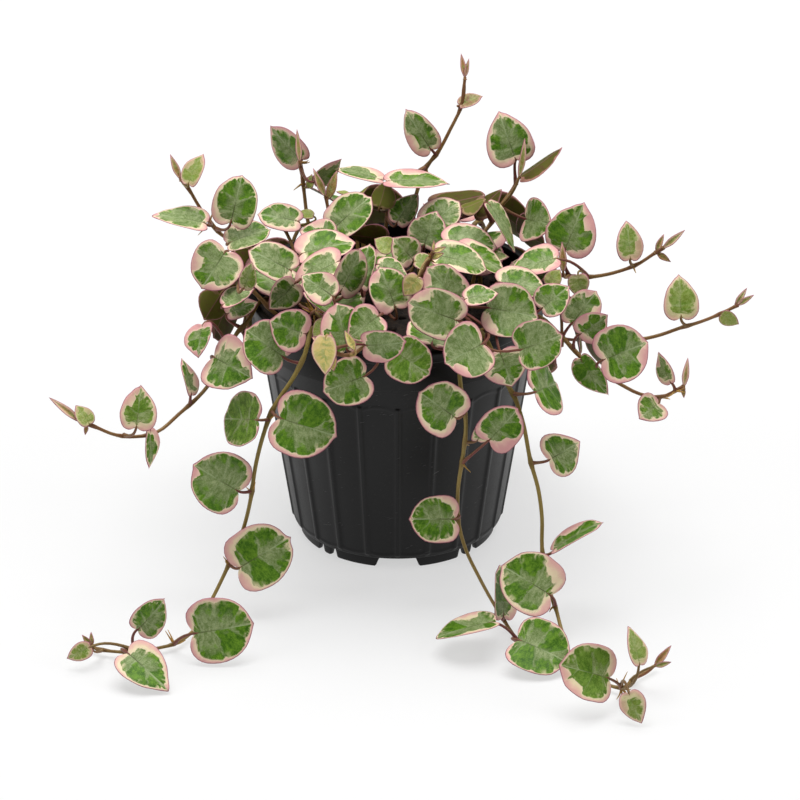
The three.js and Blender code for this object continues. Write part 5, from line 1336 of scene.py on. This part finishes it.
# %% Pot floor
def upright_cylinders(name, places, radius, low, high, segments):
    """One object of upright closed cylinders."""
    shape = bmesh.new()
    for x, y in places:
        made = bmesh.ops.create_cone(shape, cap_ends=True, segments=segments, radius1=radius * MM,
                                     radius2=radius * MM, depth=(high - low) * MM)
        shift = Vector((x * MM, y * MM, (low + high) / 2 * MM))
        bmesh.ops.translate(shape, verts=made["verts"], vec=shift)
    mesh = bpy.data.meshes.new(name)
    shape.to_mesh(mesh)
    shape.free()
    return add_object(name, mesh)


def floor_plate():
    """The pot's floor, with its drain holes cut out."""
    angles = [2 * math.pi * i / DRAINS for i in range(DRAINS)]
    places = [(DRAIN_RING * math.cos(angle), DRAIN_RING * math.sin(angle)) for angle in angles]
    plate = upright_cylinders("plate", [(0, 0)], FLOOR_RADIUS + FLOOR_JOIN, BODY_BOTTOM, FLOOR_TOP,
                              FLOOR_SEGMENTS)
    drains = upright_cylinders("drains", places, DRAIN_RADIUS, 0, DRAIN_DEPTH, DRAIN_SEGMENTS)
    cut = plate.modifiers.new("drain_holes", "BOOLEAN")
    cut.object, cut.operation, cut.solver = drains, "DIFFERENCE", "EXACT"
    bpy.context.view_layer.update()
    cut_mesh = plate.evaluated_get(bpy.context.evaluated_depsgraph_get()).to_mesh()
    points = np.array([v.co for v in cut_mesh.vertices]) / MM
    faces = [list(face.vertices) for face in cut_mesh.polygons]
    for thing in (plate, drains):
        mesh = thing.data
        bpy.data.objects.remove(thing)
        bpy.data.meshes.remove(mesh)
    return points, faces


# %% [markdown]
# Black moulded plastic is satin: its gloss changes slowly, because the mould was polished by hand, and
# use leaves fine pale scratches and a trace of dust from the mix. The scratches are stretched noise,
# kept faint.

# %% Pot finish
def pot_finish():
    """Black plastic with a slow change of gloss, faint scratches and a trace of dust."""
    plastic = Finish("black_plastic", IOR=1.5, Specular_IOR_Level=0.26)
    x, y, z, spot_at = plastic.place_in_metres()
    cloud = plastic.noise(spot_at, 0.06, 3.0)
    dust = plastic.noise(spot_at, 0.9, 4.0, 0.7)
    skin = plastic.noise(spot_at, 2.6, 2.0)
    stretched = plastic.vector(x * 260 + z * 140, y * 260 - z * 90, z * 2600 - x * 900)
    scratch = plastic.noise(stretched, 1.0, 1.0)
    thin = plastic.step(scratch, 0.735, 0.76) * plastic.step(cloud, 0.42, 0.6)
    black = plastic.mix(cloud, paint(9, 9, 10), paint(15, 15, 16))
    black = plastic.mix(plastic.step(dust, 0.56, 0.85) * 0.2, black, paint(92, 88, 82))
    black = plastic.mix(thin * 0.35, black, paint(120, 120, 120))
    plastic.colour(black)
    plastic.rough(0.34 + 0.16 * cloud + 0.14 * plastic.step(dust, 0.5, 0.8) + 0.15 * thin)
    plastic.bump(skin * 0.6 + dust * 0.4 - thin, 0.00008, 0.5)
    return plastic.material


def plain_piece(name, parts, node, material, slot):
    """One piece of several lists of points in millimetres and their faces."""
    gathering = Gathering(name, {})
    for points, faces in parts:
        gathering.add(points, faces)
    return gathering.piece(node, [material], slot)


pot = plain_piece("nursery_pot", [wall_mesh(), floor_plate()], "pot", pot_finish(), "pot_plastic")
pot.data.set_sharp_from_angle(angle=math.radians(SHARP_ANGLE))
print("pot:", len(pot.data.polygons), "faces")

# %% [markdown]
# ## The potting mix
#
# The mix is peat and bark: a dark, uneven surface, a little higher in the middle, with crumbs lying on
# it. Only a few glimpses of it show between the leaves, but they would look wrong if they were smooth.
# The bed is a turned shape whose top is lifted by a few waves, and each crumb is a small dented ball.

# %% The bed of mix
MIX_GAP, MIX_CROWN, MIX_WAVE, MIX_SEGMENTS, MIX_RINGS = 0.3, 1.2, 0.45, 96, 40
CRUMBS, CRUMB_SIZE, CRUMB_GROWTH, CRUMB_REACH, CRUMB_DENTS = 300, (0.5, 1.0), (0.8, 2.4), 48, 0.11


def mix_height(x, y):
    """The height of the mix at a place, from its crown and a few crossing waves."""
    radius = math.hypot(x, y)
    ripple = math.sin(x * 0.41 + 1) * math.sin(y * 0.37 + 2) + 0.6 * math.sin(x * 1.1 - y * 0.8)
    ripple += 0.5 * math.sin(x * 0.9 + y * 1.5 + 4) + 0.35 * math.sin(x * 2.3 + 1) * math.cos(y * 2.1)
    return SOIL_TOP + MIX_CROWN * (1 - (radius / 50) ** 2) + MIX_WAVE * ripple


def mix_bed():
    """The bed of mix: rings of its uneven top, and then its side and bottom."""
    rim, body = BAND_RADIUS - WALL - MIX_GAP, BODY_TOP_RADIUS - WALL - MIX_GAP
    low = float(wall_radius(FLOOR_TOP)) - WALL - MIX_GAP
    rings = [(radius, None) for radius in np.linspace(0, 1, MIX_RINGS + 1)[1:] ** 0.9 * rim]
    rings += [(rim, BAND_BOTTOM), (body, BAND_BOTTOM - 1.3), (low, FLOOR_TOP + MIX_GAP)]
    points = [(0, 0, mix_height(0, 0))]
    for radius, z in rings:
        for k in range(MIX_SEGMENTS):
            angle = 2 * math.pi * k / MIX_SEGMENTS
            x, y = radius * math.cos(angle), radius * math.sin(angle)
            points.append((x, y, mix_height(x, y) if z is None else z))
    points.append((0, 0, FLOOR_TOP + MIX_GAP))
    faces = [[face[0], *face[:0:-1]] for face in capped_faces(len(rings), MIX_SEGMENTS)]
    return np.array(points), faces


# %% Crumbs
def crumb(dice):
    """A small dented ball of mix, lying partly in the surface."""
    shape = bmesh.new()
    bmesh.ops.create_icosphere(shape, subdivisions=2, radius=1)
    points = np.array([v.co for v in shape.verts])
    faces = [[v.index for v in face.verts] for face in shape.faces]
    shape.free()
    waves = dice.normal(0, 1.4, (4, 3))
    dents = sum(np.sin(points @ wave * 1.6 + i) for i, wave in enumerate(waves))
    points = points * (1 + CRUMB_DENTS * dents)[:, None]
    size = dice.uniform(*CRUMB_SIZE) * dice.uniform(*CRUMB_GROWTH)
    points = points * (size, size * dice.uniform(0.4, 0.9), size * dice.uniform(0.35, 0.7))
    angle, radius = dice.uniform(0, 2 * math.pi), CRUMB_REACH * math.sqrt(dice.uniform())
    c, s = math.cos(angle * 5), math.sin(angle * 5)
    points = points @ np.array([[c, s, 0], [-s, c, 0], [0, 0, 1]])
    x, y = radius * math.cos(angle), radius * math.sin(angle)
    return points + (x, y, mix_height(x, y) + 0.15 * size), faces


# %% Mix piece
def mix_finish():
    """Dark lumps with a few paler fibres."""
    earth = Finish("potting_mix", IOR=1.4)
    x, y, z, spot_at = earth.place_in_metres()
    lump = earth.noise(spot_at, 0.5, 4.0, 0.65)
    fibre = earth.noise(earth.vector(x * 2500, y * 500, z * 900), 1.0, 3.0)
    colour = earth.mix(earth.step(lump, 0.3, 0.7), paint(20, 15, 12), paint(52, 38, 28))
    colour = earth.mix(earth.step(fibre, 0.64, 0.77) * 0.5, colour, paint(96, 74, 50))
    earth.colour(colour)
    earth.rough(0.8 + 0.15 * lump)
    earth.bump(lump + fibre * 0.5, 0.0006, 0.8)
    return earth.material


crumb_dice = np.random.default_rng(8)
mix_parts = [mix_bed()] + [crumb(crumb_dice) for _ in range(CRUMBS)]
soil = plain_piece("potting_mix_bed", mix_parts, "soil", mix_finish(), "potting_mix")
print("mix:", len(soil.data.polygons), "faces")
